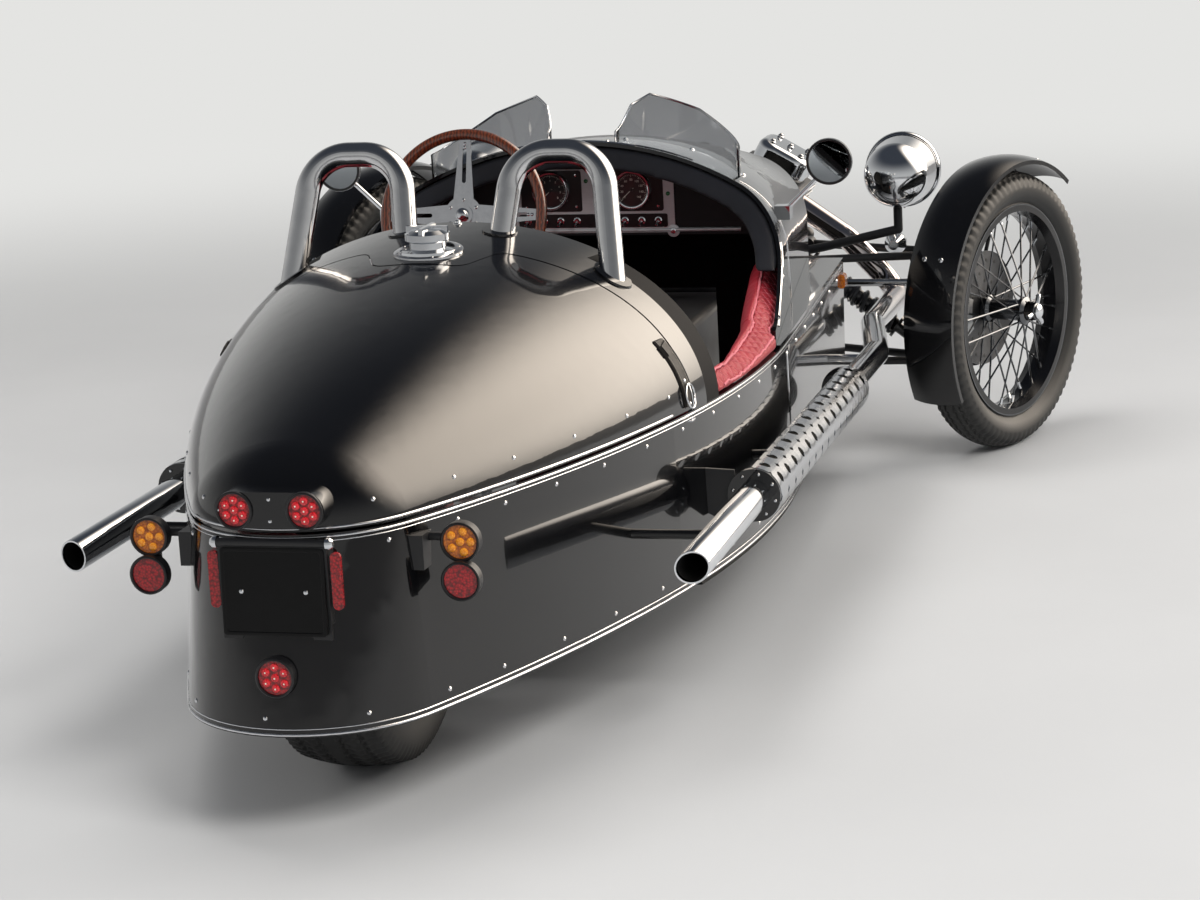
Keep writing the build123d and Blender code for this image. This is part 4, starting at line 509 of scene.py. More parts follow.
def leather(name, low, high, crease_mm=0.25):
    """Semi-aniline hide: pebbled grain of about 1 mm with soft creases and a low sheen."""
    material, output = blank(name)
    place = put(material, "TexCoord").outputs["Object"]
    drift = put(material, "TexNoise", {"Vector": place, "Scale": 9.0, "Detail": 5.0})
    pebble = put(material, "TexVoronoi", {"Vector": place, "Scale": 620.0}, feature="F1")
    crease = put(material, "TexNoise", {"Vector": place, "Scale": 55.0, "Detail": 6.0})
    tint = put(
        material,
        "MixRGB",
        {"Fac": drift.outputs["Fac"], "Color1": linear(low), "Color2": linear(high)},
    )
    shine = put(
        material,
        "MapRange",
        {"Value": crease.outputs["Fac"], "To Min": 0.44, "To Max": 0.64},
    )
    folds = put(
        material,
        "Bump",
        {"Height": crease.outputs["Fac"], "Distance": crease_mm / 1000 * 4, "Strength": 0.6},
    )
    grain = put(
        material,
        "Bump",
        {
            "Height": pebble.outputs["Distance"],
            "Distance": crease_mm / 1000,
            "Strength": 0.7,
            "Normal": folds.outputs[0],
        },
    )
    shader = put(
        material,
        "BsdfPrincipled",
        {
            "Base Color": tint.outputs[0],
            "Roughness": shine.outputs[0],
            "Specular IOR Level": 0.32,
            "Normal": grain.outputs[0],
            "Sheen Weight": 0.04,
        },
    )
    return closed(material, output, shader)


red_hide = leather("red_leather", "#74121e", "#99202d")
deep_red_hide = leather("deep_red_leather", "#5c0f1a", "#831a27")
black_hide = leather("black_leather", "#101115", "#1b1c21")

# Deck: the same lacquer, with black hide bound over its lower front edge behind the seats
BINDING_REAR, BINDING_TOP = 0.607, 0.790
bound_deck = body_lacquer.copy()
bound_deck.name = "black_lacquer_bound_in_hide"
shaders = {node.type: node for node in bound_deck.node_tree.nodes}
place = put(bound_deck, "SeparateXYZ", {"Vector": put(bound_deck, "TexCoord").outputs["Object"]})
fore = put(bound_deck, "Math", {0: place.outputs["Y"], 1: BINDING_REAR}, operation="LESS_THAN")
under = put(bound_deck, "Math", {0: place.outputs["Z"], 1: BINDING_TOP}, operation="LESS_THAN")
binding = put(bound_deck, "Math", {0: fore.outputs[0], 1: under.outputs[0]}, operation="MULTIPLY")
grain = put(bound_deck, "TexNoise", {"Scale": 420.0, "Detail": 3.0})
dull = put(bound_deck, "MapRange", {"Value": grain.outputs["Fac"], "To Min": 0.62, "To Max": 0.80})
hide = put(
    bound_deck,
    "BsdfPrincipled",
    {"Base Color": linear("#08080a"), "Roughness": dull.outputs[0], "Specular IOR Level": 0.15},
)
bound = put(
    bound_deck,
    "MixShader",
    {0: binding.outputs[0], 1: shaders["BSDF_PRINCIPLED"].outputs[0], 2: hide.outputs[0]},
)
closed(bound_deck, shaders["OUTPUT_MATERIAL"], bound)
dress("rear_deck", bound_deck)


def solids_of(name):
    """Loose solids of a carried-over piece, each as its points and faces."""
    work = bmesh.new()
    work.from_mesh(nodes[name].data)
    bmesh.ops.remove_doubles(work, verts=work.verts, dist=1e-5)
    left, found = set(work.verts), []
    while left:
        group, edge = set(), [left.pop()]
        while edge:
            vertex = edge.pop()
            group.add(vertex)
            for link in vertex.link_edges:
                other = link.other_vert(vertex)
                if other in left:
                    left.remove(other)
                    edge.append(other)
        order = sorted(group, key=lambda v: v.index)
        index = {v: i for i, v in enumerate(order)}
        rings = {f for v in group for f in v.link_faces}
        rings = sorted(rings, key=lambda f: f.index)
        found.append(([v.co.copy() for v in order], [tuple(index[v] for v in f.verts) for f in rings]))
    work.free()
    return sorted(found, key=lambda s: tuple(round(sum(p[k] for p in s[0]) / len(s[0]), 3) for k in (0, 1)))


def relax(work, rounds):
    """Move every vertex halfway to the mean of its neighbours, some rounds over."""
    axes = {"use_axis_x": True, "use_axis_y": True, "use_axis_z": True}
    for _ in range(rounds):
        bmesh.ops.smooth_vert(work, verts=work.verts, factor=0.5, **axes)


def stuffed(name, points, faces, material, voxel, shrink, swell, body="car", rounds=6):
    """A leather cover round foam: closed form, softened, then swollen and capped."""
    made = mesh_piece(name, points, faces, material)
    remesh = made.modifiers.new("cover", "REMESH")
    remesh.mode, remesh.voxel_size = "VOXEL", voxel
    scene.view_layers[0].update()
    solid = bpy.data.meshes.new_from_object(made.evaluated_get(bpy.context.evaluated_depsgraph_get()))
    made.modifiers.clear()
    made.data = solid
    solid.materials.clear()
    solid.materials.append(material)
    work = bmesh.new()
    work.from_mesh(solid)
    work.normal_update()
    for vertex in work.verts:
        vertex.co -= vertex.normal * shrink
    relax(work, rounds)
    work.to_mesh(solid)
    work.free()
    if swell:
        rest = [v.co.copy() for v in solid.vertices]
        cloth = made.modifiers.new("swell", "CLOTH")
        cloth.settings.use_pressure = True
        cloth.settings.uniform_pressure_force = 4.0
        cloth.settings.effector_weights.gravity = 0.0
        for number in range(1, 21):
            scene.frame_set(number)
        grown = bpy.data.meshes.new_from_object(
            made.evaluated_get(bpy.context.evaluated_depsgraph_get())
        )
        moved = [v.co.copy() for v in grown.vertices]
        made.modifiers.clear()
        for vertex, old, new in zip(solid.vertices, rest, moved):
            step = new - old
            if step.length > swell:
                step = step.normalized() * swell
            vertex.co = old + step
        scene.frame_set(1)
        work = bmesh.new()
        work.from_mesh(solid)
        relax(work, 4)
        work.to_mesh(solid)
        work.free()
    solid.shade_smooth()
    solid.update()
    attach(made, body)
    return made


roll_points, roll_faces = solids_of("scuttle_roll")[0]
rim_roll = stuffed("rim_roll", roll_points, roll_faces, black_hide, 0.006, 0.002, 0.0, rounds=14)
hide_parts("scuttle_roll")

# Seats: a cushion and a back each, with channels sewn from front to back
for points, faces in solids_of("seats"):
    middle = sum(points, Vector()) / len(points)
    kind = "back" if middle.z > 0.42 else "cushion"
    side = "left" if middle.x > 0 else "right"
    cushion = stuffed(f"seat_{kind}_{side}", points, faces, deep_red_hide, 0.009, 0.006, 0.006, rounds=10)
    lows = [min(v.co[k] for v in cushion.data.vertices) for k in range(3)]
    highs = [max(v.co[k] for v in cushion.data.vertices) for k in range(3)]
    work = bmesh.new()
    work.from_mesh(cushion.data)
    bmesh.ops.subdivide_edges(work, edges=work.edges[:], cuts=1, use_grid_fill=True)
    work.normal_update()
    channels = 7
    for vertex in work.verts:
        share = (vertex.co.x - lows[0]) / (highs[0] - lows[0])
        groove = abs(math.sin(math.pi * share * channels)) ** 0.5
        facing = max(vertex.normal.z if kind == "cushion" else -vertex.normal.y, 0.0)
        edge = min(share, 1 - share) * 8
        vertex.co -= vertex.normal * (1 - groove) * 0.009 * facing * min(edge, 1)
    work.to_mesh(cushion.data)
    work.free()
    cushion.data.shade_smooth()
    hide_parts("seats")

# Side pads: a smooth roll inside, and outside it a sloping panel quilted in diamonds 34 mm long,
# with light piping between them and along the panel's outer edge
QUILT_LONG, QUILT_HIGH, QUILT_DEEP = 0.034, 0.024, 0.0036
ROLL_SHARE, PANEL_DROP = 0.40, 0.024
PAD_FRONT, PAD_LENGTH, PAD_FOOT = -0.335, 0.84, 0.5123
PAD_INNER_EDGE = ((0.366, -0.355), (0.438, 0.140), (0.459, 0.400), (0.460, 0.550))
PAD_TOP_LINE = ((0.620, -0.355), (0.620, -0.290), (0.566, 0.100), (0.548, 0.400), (0.556, 0.550))
piping_hide = leather("piping_leather", "#b8525d", "#d07a82", 0.1)


def along_pad(line, y):
    """Value of a line of the pad at a place along the car."""
    for (low, first), (high, last) in zip(line, line[1:]):
        if y <= last:
            return low + (high - low) * max(y - first, 0) / (last - first)
    return line[-1][0]


def swept(name, paths, radius, material, body, sides=8, loop=False):
    """Round rod along each path of points, capped unless it closes on itself."""
    points, faces = [], []
    for path in paths:
        base, count = len(points), len(path)
        side = None
        for index, place in enumerate(path):
            before = path[index - 1] if index or loop else path[0]
            after = path[(index + 1) % count] if index < count - 1 or loop else path[-1]
            along = (after - before).normalized()
            side = (side or along.orthogonal()).normalized()
            side = (side - along * side.dot(along)).normalized()
            other = along.cross(side)
            for step in range(sides):
                turn = 2 * math.pi * step / sides
                points.append(place + (side * math.cos(turn) + other * math.sin(turn)) * radius)
        for index in range(count if loop else count - 1):
            here, there = base + index * sides, base + (index + 1) % count * sides
            for step in range(sides):
                ahead_step = (step + 1) % sides
                faces.append((here + step, here + ahead_step, there + ahead_step, there + step))
        if not loop:
            faces.append(tuple(range(base + sides - 1, base - 1, -1)))
            last = base + (count - 1) * sides
            faces.append(tuple(range(last, last + sides)))
    return mesh_piece(name, points, faces, material, body)


pad_edges = {}
for points, faces in solids_of("side_pads"):
    side = 1 if sum(p.x for p in points) > 0 else -1
    word = SIDE_WORDS[side]
    pad = stuffed(f"side_pad_{word}", points, faces, red_hide, 0.0055, 0.0015, 0.003, rounds=14)
    work = bmesh.new()
    work.from_mesh(pad.data)
    bmesh.ops.subdivide_edges(work, edges=work.edges[:], cuts=1, use_grid_fill=True)
    relax(work, 1)
    widest = {}
    for vertex in work.verts:
        key = round(vertex.co.y / 0.02)
        widest[key] = max(widest.get(key, 0), abs(vertex.co.x))
    work.normal_update()
    moves = []
    for vertex in work.verts:
        y, z, up = vertex.co.y, vertex.co.z, vertex.normal.z
        inner, outer = along_pad(PAD_INNER_EDGE, y), widest[round(y / 0.02)]
        share = (abs(vertex.co.x) - inner) / (outer - inner)
        high = max((z - PAD_FOOT) / (along_pad(PAD_TOP_LINE, y) - PAD_FOOT), 0)
        slope = max(share - ROLL_SHARE, 0) / (1 - ROLL_SHARE)
        move = Vector((0, 0, -PANEL_DROP * slope * high))
        rounder = max(1 - share / ROLL_SHARE, 0)
        move.z += (0.004 - 0.016 * rounder**2) * high * (share < ROLL_SHARE)
        if up > 0.15 and share > ROLL_SHARE:
            climb = share * (outer - inner)
            one = math.sin(math.pi * (y / QUILT_LONG + climb / QUILT_HIGH))
            two = math.sin(math.pi * (y / QUILT_LONG - climb / QUILT_HIGH))
            puff = min(abs(one), abs(two)) ** 0.5
            move -= vertex.normal * (1 - puff) * QUILT_DEEP
        if up > 0.15:
            move -= vertex.normal * 0.004 * max(0.0, 1 - (abs(share - ROLL_SHARE) / 0.05) ** 2)
        moves.append(move)
    for vertex, move in zip(work.verts, moves):
        vertex.co += move
    work.to_mesh(pad.data)
    work.free()
    pad.data.shade_smooth()
    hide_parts("side_pads")
    cover = BVHTree.FromPolygons([v.co for v in pad.data.vertices], [p.vertices for p in pad.data.polygons])
    lines = []
    for share, lift in ((ROLL_SHARE, 0.0012), (0.93, 0.0008)):
        line = []
        for step in range(60):
            y = PAD_FRONT + PAD_LENGTH * step / 59
            inner, outer = along_pad(PAD_INNER_EDGE, y), widest.get(round(y / 0.02), 0.5)
            x = side * (inner + share * (outer - inner))
            hit, normal = laid(cover, Vector((x, y, 0.9)), Vector((x, y, 0.3)))
            if hit and hit.z > 0.52:
                line.append(hit + normal * lift)
        lines.append(line)
    pad_edges[word] = lines
    threads = []
    for way in (1, -1):
        for number in range(-4, 30):
            thread = []
            for step in range(13):
                share = ROLL_SHARE + 0.04 + (0.88 - ROLL_SHARE) * step / 12
                y = PAD_FRONT + number * QUILT_LONG
                for _ in range(3):
                    inner, outer = along_pad(PAD_INNER_EDGE, y), widest.get(round(y / 0.02), 0.5)
                    climb = share * (outer - inner)
                    y = (number - 10 - way * climb / QUILT_HIGH) * QUILT_LONG
                x = side * (inner + share * (outer - inner))
                hit, normal = laid(cover, Vector((x, y, 0.9)), Vector((x, y, 0.3)))
                if PAD_FRONT < y < 0.50 and hit and hit.z > 0.52:
                    thread.append(hit + normal * 0.0003)
            if len(thread) > 3:
                threads.append(thread)
    swept(f"pad_thread_{word}", threads, 0.0006, piping_hide, "car", sides=5)
for word, lines in pad_edges.items():
    swept(f"pad_piping_{word}", lines, 0.0026, piping_hide, "car", sides=8)


def turned(name, places, profile, material, body, steps=40):
    """Turned pieces: one outline of distance along and radius, spun at each place and axis."""
    points, faces = [], []
    for place, axle in places:
        axle = Vector(axle).normalized()
        side = axle.orthogonal().normalized()
        other = axle.cross(side)
        rings = []
        for along, radius in profile:
            start = len(points)
            if radius < 1e-6:
                points.append(place + axle * along)
                rings.append((start, 1))
                continue
            for step in range(steps):
                turn = 2 * math.pi * step / steps
                spread = side * math.cos(turn) + other * math.sin(turn)
                points.append(place + axle * along + spread * radius)
            rings.append((start, steps))
        for (here, here_count), (there, there_count) in zip(rings, rings[1:]):
            for step in range(steps):
                ahead_step = (step + 1) % steps
                face = [here + step % here_count, here + ahead_step % here_count]
                face += [there + ahead_step % there_count, there + step % there_count]
                face = list(dict.fromkeys(face))
                if len(face) > 2:
                    faces.append(tuple(face))
    return mesh_piece(name, points, faces, material, body)


def arc(middle, side, other, radius, start, end, steps):
    """Points of an arc in the plane of two directions, angles in degrees."""
    row = []
    for index in range(steps + 1):
        turn = math.radians(start + (end - start) * index / steps)
        row.append(middle + (side * math.cos(turn) + other * math.sin(turn)) * radius)
    return row


def rounded(middle, half_x, half_z, radius, steps):
    """Outline of an upright rectangle with round corners, whose centres lie half_x and half_z out."""
    row = []
    for cx, cz, first in ((1, 1, 0), (-1, 1, 90), (-1, -1, 180), (1, -1, 270)):
        heart = middle + Vector((cx * half_x, 0, cz * half_z))
        row += arc(heart, Vector((1, 0, 0)), Vector((0, 0, 1)), radius, first, first + 90, steps)
    return row


# Dash. A plywood board trimmed in black hide carries a brushed aluminium plate with two
# gauges, toggle switches and warning lamps, screwed on at its four ears.
dash_hide = leather("dash_hide", "#0c0c0e", "#17171a")
dress("dash_panel", dash_hide)
BACKWARD = Vector((0, 1, 0))
RIGHTWARD, UPWARD = Vector((-1, 0, 0)), Vector((0, 0, 1))

# Brushed aluminium: grain lines of about 0.4 mm run across the car
brushed_aluminium, surface = blank("brushed_aluminium")
place = put(brushed_aluminium, "TexCoord").outputs["Object"]
drawn = put(brushed_aluminium, "Mapping", {"Vector": place, "Scale": (12.0, 12.0, 2500.0)})
lines = put(brushed_aluminium, "TexNoise", {"Vector": drawn.outputs[0], "Scale": 1.0, "Detail": 3.0})
tint = put(
    brushed_aluminium,
    "MixRGB",
    {"Fac": lines.outputs["Fac"], "Color1": linear("#b4b6b9"), "Color2": linear("#dcdee0")},
)
sheen = put(brushed_aluminium, "MapRange", {"Value": lines.outputs["Fac"], "To Min": 0.30, "To Max": 0.48})
closed(
    brushed_aluminium,
    surface,
    put(
        brushed_aluminium,
        "BsdfPrincipled",
        {"Base Color": tint.outputs[0], "Roughness": sheen.outputs[0], "Metallic": 0.6},
    ),
)
dress("instrument_panel", brushed_aluminium)
dash_low, dash_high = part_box("dash_panel")
strip_ends = [Vector((side * 0.335, dash_high[1] + 0.001, dash_low[2] + 0.011)) for side in (-1, 1)]
swept(
    "dash_moulding", [[strip_ends[0], strip_ends[0].lerp(strip_ends[1], 0.5), strip_ends[1]]],
    0.0048, brushed_aluminium, "car", sides=12
)
# Bakelite: hard black moulding with a dull polish
bakelite = blended("bakelite", "#0d0d0e", "#161617", 25, (0.24, 0.36))
# Dial paper under glass: matt black
dial_black = blended("dial_black", "#0a0a0a", "#111112", 40, (0.5, 0.6), Coat_Weight=1.0, Coat_Roughness=0.03)
# Dial paint: warm white, slightly chalky
dial_white = blended("dial_white", "#e6e2d2", "#efece0", 20, (0.5, 0.6))
# Chromium plate: mirror bright, faintly cool, with soft handling marks
chrome = blended("chromium_plate", "#cfd2d6", "#e6e8eb", 55, (0.05, 0.12), Metallic=1.0)
dress("gauges", dial_black)

PANEL_FACE = spot(0, 849.3, 745).y
GAUGE_FACE = spot(0, 855.3, 770).y
gauge_places = [(Vector((side * 0.093, GAUGE_FACE, 0.770)), BACKWARD) for side in (1, -1)]
turned(
    "gauge_bezels",
    gauge_places,
    [
        (-0.005, 0.0368), (0.0052, 0.0368), (0.0062, 0.0385), (0.0062, 0.0415), (0.0040, 0.0432),
        (-0.005, 0.0435)
    ],
    chrome,
    "car",
)
marks, hands = [], []
for middle, _ in gauge_places:
    for index in range(41):
        turn = math.radians(225 - 270 * index / 40)
        reach = 0.0285 if index % 5 == 0 else 0.0315
        out = RIGHTWARD * math.cos(turn) + UPWARD * math.sin(turn)
        marks.append([middle + out * reach + BACKWARD * 0.0005, middle + out * 0.0345 + BACKWARD * 0.0005])
    out = RIGHTWARD * math.cos(math.radians(222)) + UPWARD * math.sin(math.radians(222))
    hands.append([middle - out * 0.006 + BACKWARD * 0.0016, middle + out * 0.028 + BACKWARD * 0.0016])
swept("gauge_marks", marks, 0.00045, dial_white, "car", sides=4)
swept("gauge_hands", hands, 0.0008, dial_white, "car", sides=4)
turned("gauge_hubs", gauge_places, [(0, 0.004), (0.003, 0.004), (0.0035, 0)], bakelite, "car", steps=20)
for number, (middle, _) in enumerate(gauge_places):
    for index in range(0, 41, 5):
        turn = math.radians(225 - 270 * index / 40)
        out = RIGHTWARD * math.cos(turn) + UPWARD * math.sin(turn)
        letters = bpy.data.curves.new(f"dial_number_{number}_{index}", "FONT")
        letters.body = str(index // 5 * (20 if number else 1))
        letters.size, letters.extrude = 0.0068, 0.0001
        letters.align_x, letters.align_y = "CENTER", "CENTER"
        figure = bpy.data.objects.new(letters.name, letters)
        scene.collection.objects.link(figure)
        figure.location = middle + out * 0.0225 + BACKWARD * 0.0004
        figure.rotation_euler = (math.radians(90), 0, math.radians(180))
        letters.materials.append(dial_white)
        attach(figure, "car")

ear_places = [
    (Vector((sx * 0.1825, PANEL_FACE - 0.003, 0.745 + sz * 0.068)), BACKWARD) for sx in (1, -1)
    for sz in (1, -1)
]
turned(
    "panel_ears",
    ear_places,
    [(0, 0.0140), (0.0030, 0.0140), (0.0034, 0.0134), (0.0034, 0.0)],
    brushed_aluminium,
    "car",
    steps=28,
)
screws = [(place + BACKWARD * 0.0034, axle) for place, axle in ear_places]
turned(
    "panel_screws", screws, [(0, 0.0068), (0.0022, 0.0062), (0.0032, 0.0035), (0.0034, 0)], chrome,
    "car", steps=16
)
sub_panels = []
for side in (1, -1):
    sub_panels.append(rounded(Vector((side * 0.093, PANEL_FACE + 0.0014, 0.768)), 0.064, 0.040, 0.006, 6))
points, faces = [], []
for row in sub_panels:
    base = len(points)
    inner = []
    middle = Vector((0.093 if row[0].x > 0 else -0.093, row[0].y, 0.770))
    for p in row:
        out = (p - middle).normalized()
        inner.append(middle + out * 0.0438)
    points += row + inner + [p - BACKWARD * 0.0014 for p in row]
    count = len(row)
    for index in range(count):
        nxt = (index + 1) % count
        faces.append((base + index, base + nxt, base + count + nxt, base + count + index))
        faces.append((base + index, base + 2 * count + index, base + 2 * count + nxt, base + nxt))
mesh_piece("gauge_surrounds", points, faces, bakelite, "car", smooth=False)
bar = rounded(Vector((0, PANEL_FACE + 0.0014, 0.701)), 0.166, 0.010, 0.005, 6)
count = len(bar)
faces = [tuple(range(count))]
faces += [(k, count + k, count + (k + 1) % count, (k + 1) % count) for k in range(count)]
mesh_piece("switch_bar", bar + [p - BACKWARD * 0.0014 for p in bar], faces, bakelite, "car", smooth=False)
small = [
    (Vector((side * 0.093 + sx * 0.058, PANEL_FACE + 0.0014, 0.768 + sz * 0.035)), BACKWARD)
    for side in (1, -1)
    for sx in (1, -1)
    for sz in (1, -1)
]
turned("surround_screws", small, [(0, 0.0034), (0.0012, 0.0030), (0.0016, 0)], chrome, "car", steps=12)
toggles = [
    (Vector((x / 1000, PANEL_FACE, 0.701)), BACKWARD)
    for x in (-150, -112, -74, -36, 36, 74, 112, 150)
]
turned(
    "toggle_nuts",
    toggles,
    [(0, 0.0085), (0.003, 0.0085), (0.004, 0.006), (0.009, 0.005), (0.009, 0)],
    chrome,
    "car",
    steps=12,
)
turned(
    "toggle_levers",
    [(p + BACKWARD * 0.008, BACKWARD * 2.2 - UPWARD) for p, _ in toggles],
    [(0, 0.0018), (0.012, 0.0026), (0.017, 0.0036), (0.020, 0.0028), (0.021, 0)],
    polished_aluminium,
    "car",
    steps=12,
)
# Warning lamps: small domes of coloured acrylic
signal_red = blended("signal_red_acrylic", "#7c0b10", "#93131a", 6, (0.10, 0.16), Coat_Weight=1.0)
signal_green = blended("signal_green_acrylic", "#0b5a2a", "#11703a", 6, (0.10, 0.16), Coat_Weight=1.0)
for tone, xs in (("red", (-0.006, 0.174)), ("green", (0.012, -0.174))):
    turned(
        f"warning_lamps_{tone}",
        [(Vector((x, PANEL_FACE, 0.790 if abs(x) < 0.1 else 0.760)), BACKWARD) for x in xs],
        [(0, 0.0048), (0.0025, 0.0046), (0.0042, 0.0030), (0.0048, 0)],
        signal_red if tone == "red" else signal_green,
        "car",
        steps=16,
    )

# Steering wheel. A laminated wooden rim riveted to three slotted spokes of polished alloy,
# on a boss that is splined to the column.
wood, surface = blank("walnut_rim")
place = put(wood, "TexCoord").outputs["Object"]
bands = put(
    wood, "TexWave",
    {"Vector": place, "Scale": 42.0, "Distortion": 5.0, "Detail": 3.0, "Detail Scale": 2.5}
)
pores = put(wood, "TexNoise", {"Vector": place, "Scale": 420.0, "Detail": 3.0})
tint = put(
    wood,
    "MixRGB",
    {"Fac": bands.outputs["Fac"], "Color1": linear("#2c120a"), "Color2": linear("#66301a")},
)
worn = put(wood, "Bump", {"Height": pores.outputs["Fac"], "Distance": 0.00015, "Strength": 0.5})
closed(
    wood,
    surface,
    put(
        wood,
        "BsdfPrincipled",
        {
            "Base Color": tint.outputs[0],
            "Roughness": 0.28,
            "Coat Weight": 0.8,
            "Coat Roughness": 0.06,
            "Normal": worn.outputs[0],
        },
    ),
)
dress("steering_rim", wood)
dress("steering_spokes", polished_aluminium)
dress("steering_column", powder_black)
HUB = spot(224, 1085, 753)
lean = math.radians(16.1)
COLUMN = Vector((0, math.cos(lean), math.sin(lean)))
LEFT = Vector((1, 0, 0))
WHEEL_UP = COLUMN.cross(LEFT).normalized()
rivets = []
for degrees in (0, 180, 270):
    turn = math.radians(degrees)
    for reach in (0.156, 0.148):
        out = LEFT * math.cos(turn) + WHEEL_UP * math.sin(turn)
        rivets.append((HUB + out * reach * 0.995 + COLUMN * 0.0025, COLUMN))
for index in range(6):
    turn = math.radians(30 + 60 * index)
    out = LEFT * math.cos(turn) + WHEEL_UP * math.sin(turn)
    rivets.append((HUB + out * 0.033 + COLUMN * 0.0025, COLUMN))
studs("wheel_rivets", rivets, 0.0038, 0.0022, chrome, "steering_wheel")
turned(
    "horn_push",
    [(HUB + COLUMN * 0.006, COLUMN)],
    [(-0.002, 0.0150), (0.003, 0.0150), (0.0040, 0.0125), (0.0100, 0.0115), (0.0135, 0.0080), (0.0145, 0.0)],
    chrome,
    "steering_wheel",
)

# Windscreens. Two half-round screens of smoked acrylic 4 mm thick, heat bent, edged with
# bright beading and held to the cowl by three screws each.
smoked, surface = blank("smoked_acrylic")
place = put(smoked, "TexCoord").outputs["Object"]
haze = put(smoked, "TexNoise", {"Vector": place, "Scale": 30.0, "Detail": 4.0})
film = put(smoked, "MapRange", {"Value": haze.outputs["Fac"], "To Min": 0.02, "To Max": 0.07})
closed(
    smoked,
    surface,
    put(
        smoked,
        "BsdfPrincipled",
        {
            "Base Color": linear("#d5d8db"),
            "Roughness": film.outputs[0],
            "Transmission Weight": 1.0,
            "IOR": 1.49,
        },
    ),
)
dress("windscreens", smoked)
SCREEN_OUTLINE = ((76, 874), (76, 905), (96, 955), (130, 974), (235, 935), (349, 861))
edges = []
for side in (1, -1):
    row = []
    for (x0, z0), (x1, z1) in zip(SCREEN_OUTLINE, SCREEN_OUTLINE[1:]):
        for step in range(10):
            x, z = x0 + (x1 - x0) * step / 10, z0 + (z1 - z0) * step / 10
            row.append(spot(side * x, 905 - math.sqrt(max(136**2 - (x - 212) ** 2, 0)), z))
    edges.append(row)
swept("screen_edging", edges, 0.0024, polished_aluminium, "car")
screws = []
for side in (1, -1):
    for angle in (205, 270, 335):
        turn = math.radians(angle)
        x, station = 212 + 146 * math.cos(turn), 905 + 146 * math.sin(turn)
        hit, normal = laid(cowl, spot(side * x, station, 1100), spot(side * x, station, 700))
        if hit:
            screws.append((hit, normal))
studs("screen_screws", screws, 0.0065, 0.0040, polished_aluminium, "car", sides=14)

# Mirrors. Round glasses in chromed turned shells, on stalks from blocks bolted to the cowl.
dress("mirrors", chrome)
# Silvered glass: a clean reflection, a little darker than the chrome round it
mirror_glass = blended("silvered_glass", "#b9c0c4", "#c6ccd0", 90, (0.01, 0.03), Metallic=1.0)
mirror_places = [(spot(side * 555, 945, 838), BACKWARD) for side in (1, -1)]
turned(
    "mirror_glasses",
    mirror_places,
    [(-0.0028, 0.0), (-0.0026, 0.0300), (-0.0018, 0.0440), (-0.0029, 0.0444)],
    mirror_glass,
    "car",
)
turned(
    "mirror_gaskets",
    mirror_places,
    [
        (-0.0025, 0.0440), (0.0012, 0.0445), (0.0020, 0.0470), (0.0012, 0.0495), (-0.0060, 0.0504),
        (-0.0060, 0.0492)
    ],
    bakelite,
    "car",
)

# Roll hoops and fuel filler. Hoops of polished stainless tube on lacquered rings; the filler
# is a turned and chromed cap with four wings, on an oval flange screwed to the deck.
# Stainless tube: bright, with long faint buffing lines and a hint of warmth
stainless = blended(
    "polished_stainless", "#bfc0c2", "#dcdcdd", 40, (0.07, 0.16), ripple_mm=0.01, Metallic=1.0
)
dress("roll_hoops", stainless)
dress("filler_cap", chrome)
deck = skin("rear_deck")
FILLER = spot(0, 1991, 790)
turned(
    "filler_tiers",
    [(FILLER, UPWARD)],
    [(0.040, 0.0498), (0.0405, 0.0525), (0.0355, 0.0535), (0.0350, 0.0500)],
    chrome,
    "car",
)
points, faces = [], []
outline = 48
FLANGE_TIERS = (
    (0.066, 0.056, 0.0004), (0.066, 0.056, 0.004), (0.062, 0.052, 0.0055), (0.0495, 0.0495, 0.0055)
)
for reach_x, reach_y, lift in FLANGE_TIERS:
    for index in range(outline):
        turn = 2 * math.pi * index / outline
        x, y = reach_x * math.cos(turn), FILLER.y + reach_y * math.sin(turn)
        hit, _ = laid(deck, Vector((x, y, 1.2)), Vector((x, y, 0.5)))
        z = hit.z if hit else FILLER.z + 0.02
        points.append(Vector((x, y, z + lift)))
for tier in range(3):
    for index in range(outline):
        nxt = (index + 1) % outline
        a, b = tier * outline, (tier + 1) * outline
        faces.append((a + index, a + nxt, b + nxt, b + index))
mesh_piece("filler_flange", points, faces, polished_aluminium, "car")
screws = []
for index in range(8):
    turn = 2 * math.pi * (index + 0.5) / 8
    x, y = 0.0575 * math.cos(turn), FILLER.y + 0.0505 * math.sin(turn)
    hit, normal = laid(deck, Vector((x, y, 1.2)), Vector((x, y, 0.5)))
    if hit:
        screws.append((hit + normal * 0.0048, normal))
studs("filler_screws", screws, 0.0030, 0.0018, chrome, "car")
# Turn button that holds the deck down at its front
button, outward = laid(deck, Vector((0, 0.560, 1.2)), Vector((0, 0.560, 0.5)))
turned(
    "deck_turn_button",
    [(button, outward)],
    [(-0.001, 0.0090), (0.0015, 0.0088), (0.0022, 0.0060), (0.0060, 0.0052), (0.0072, 0.0030), (0.0074, 0.0)],
    chrome,
    "car",
    steps=20,
)

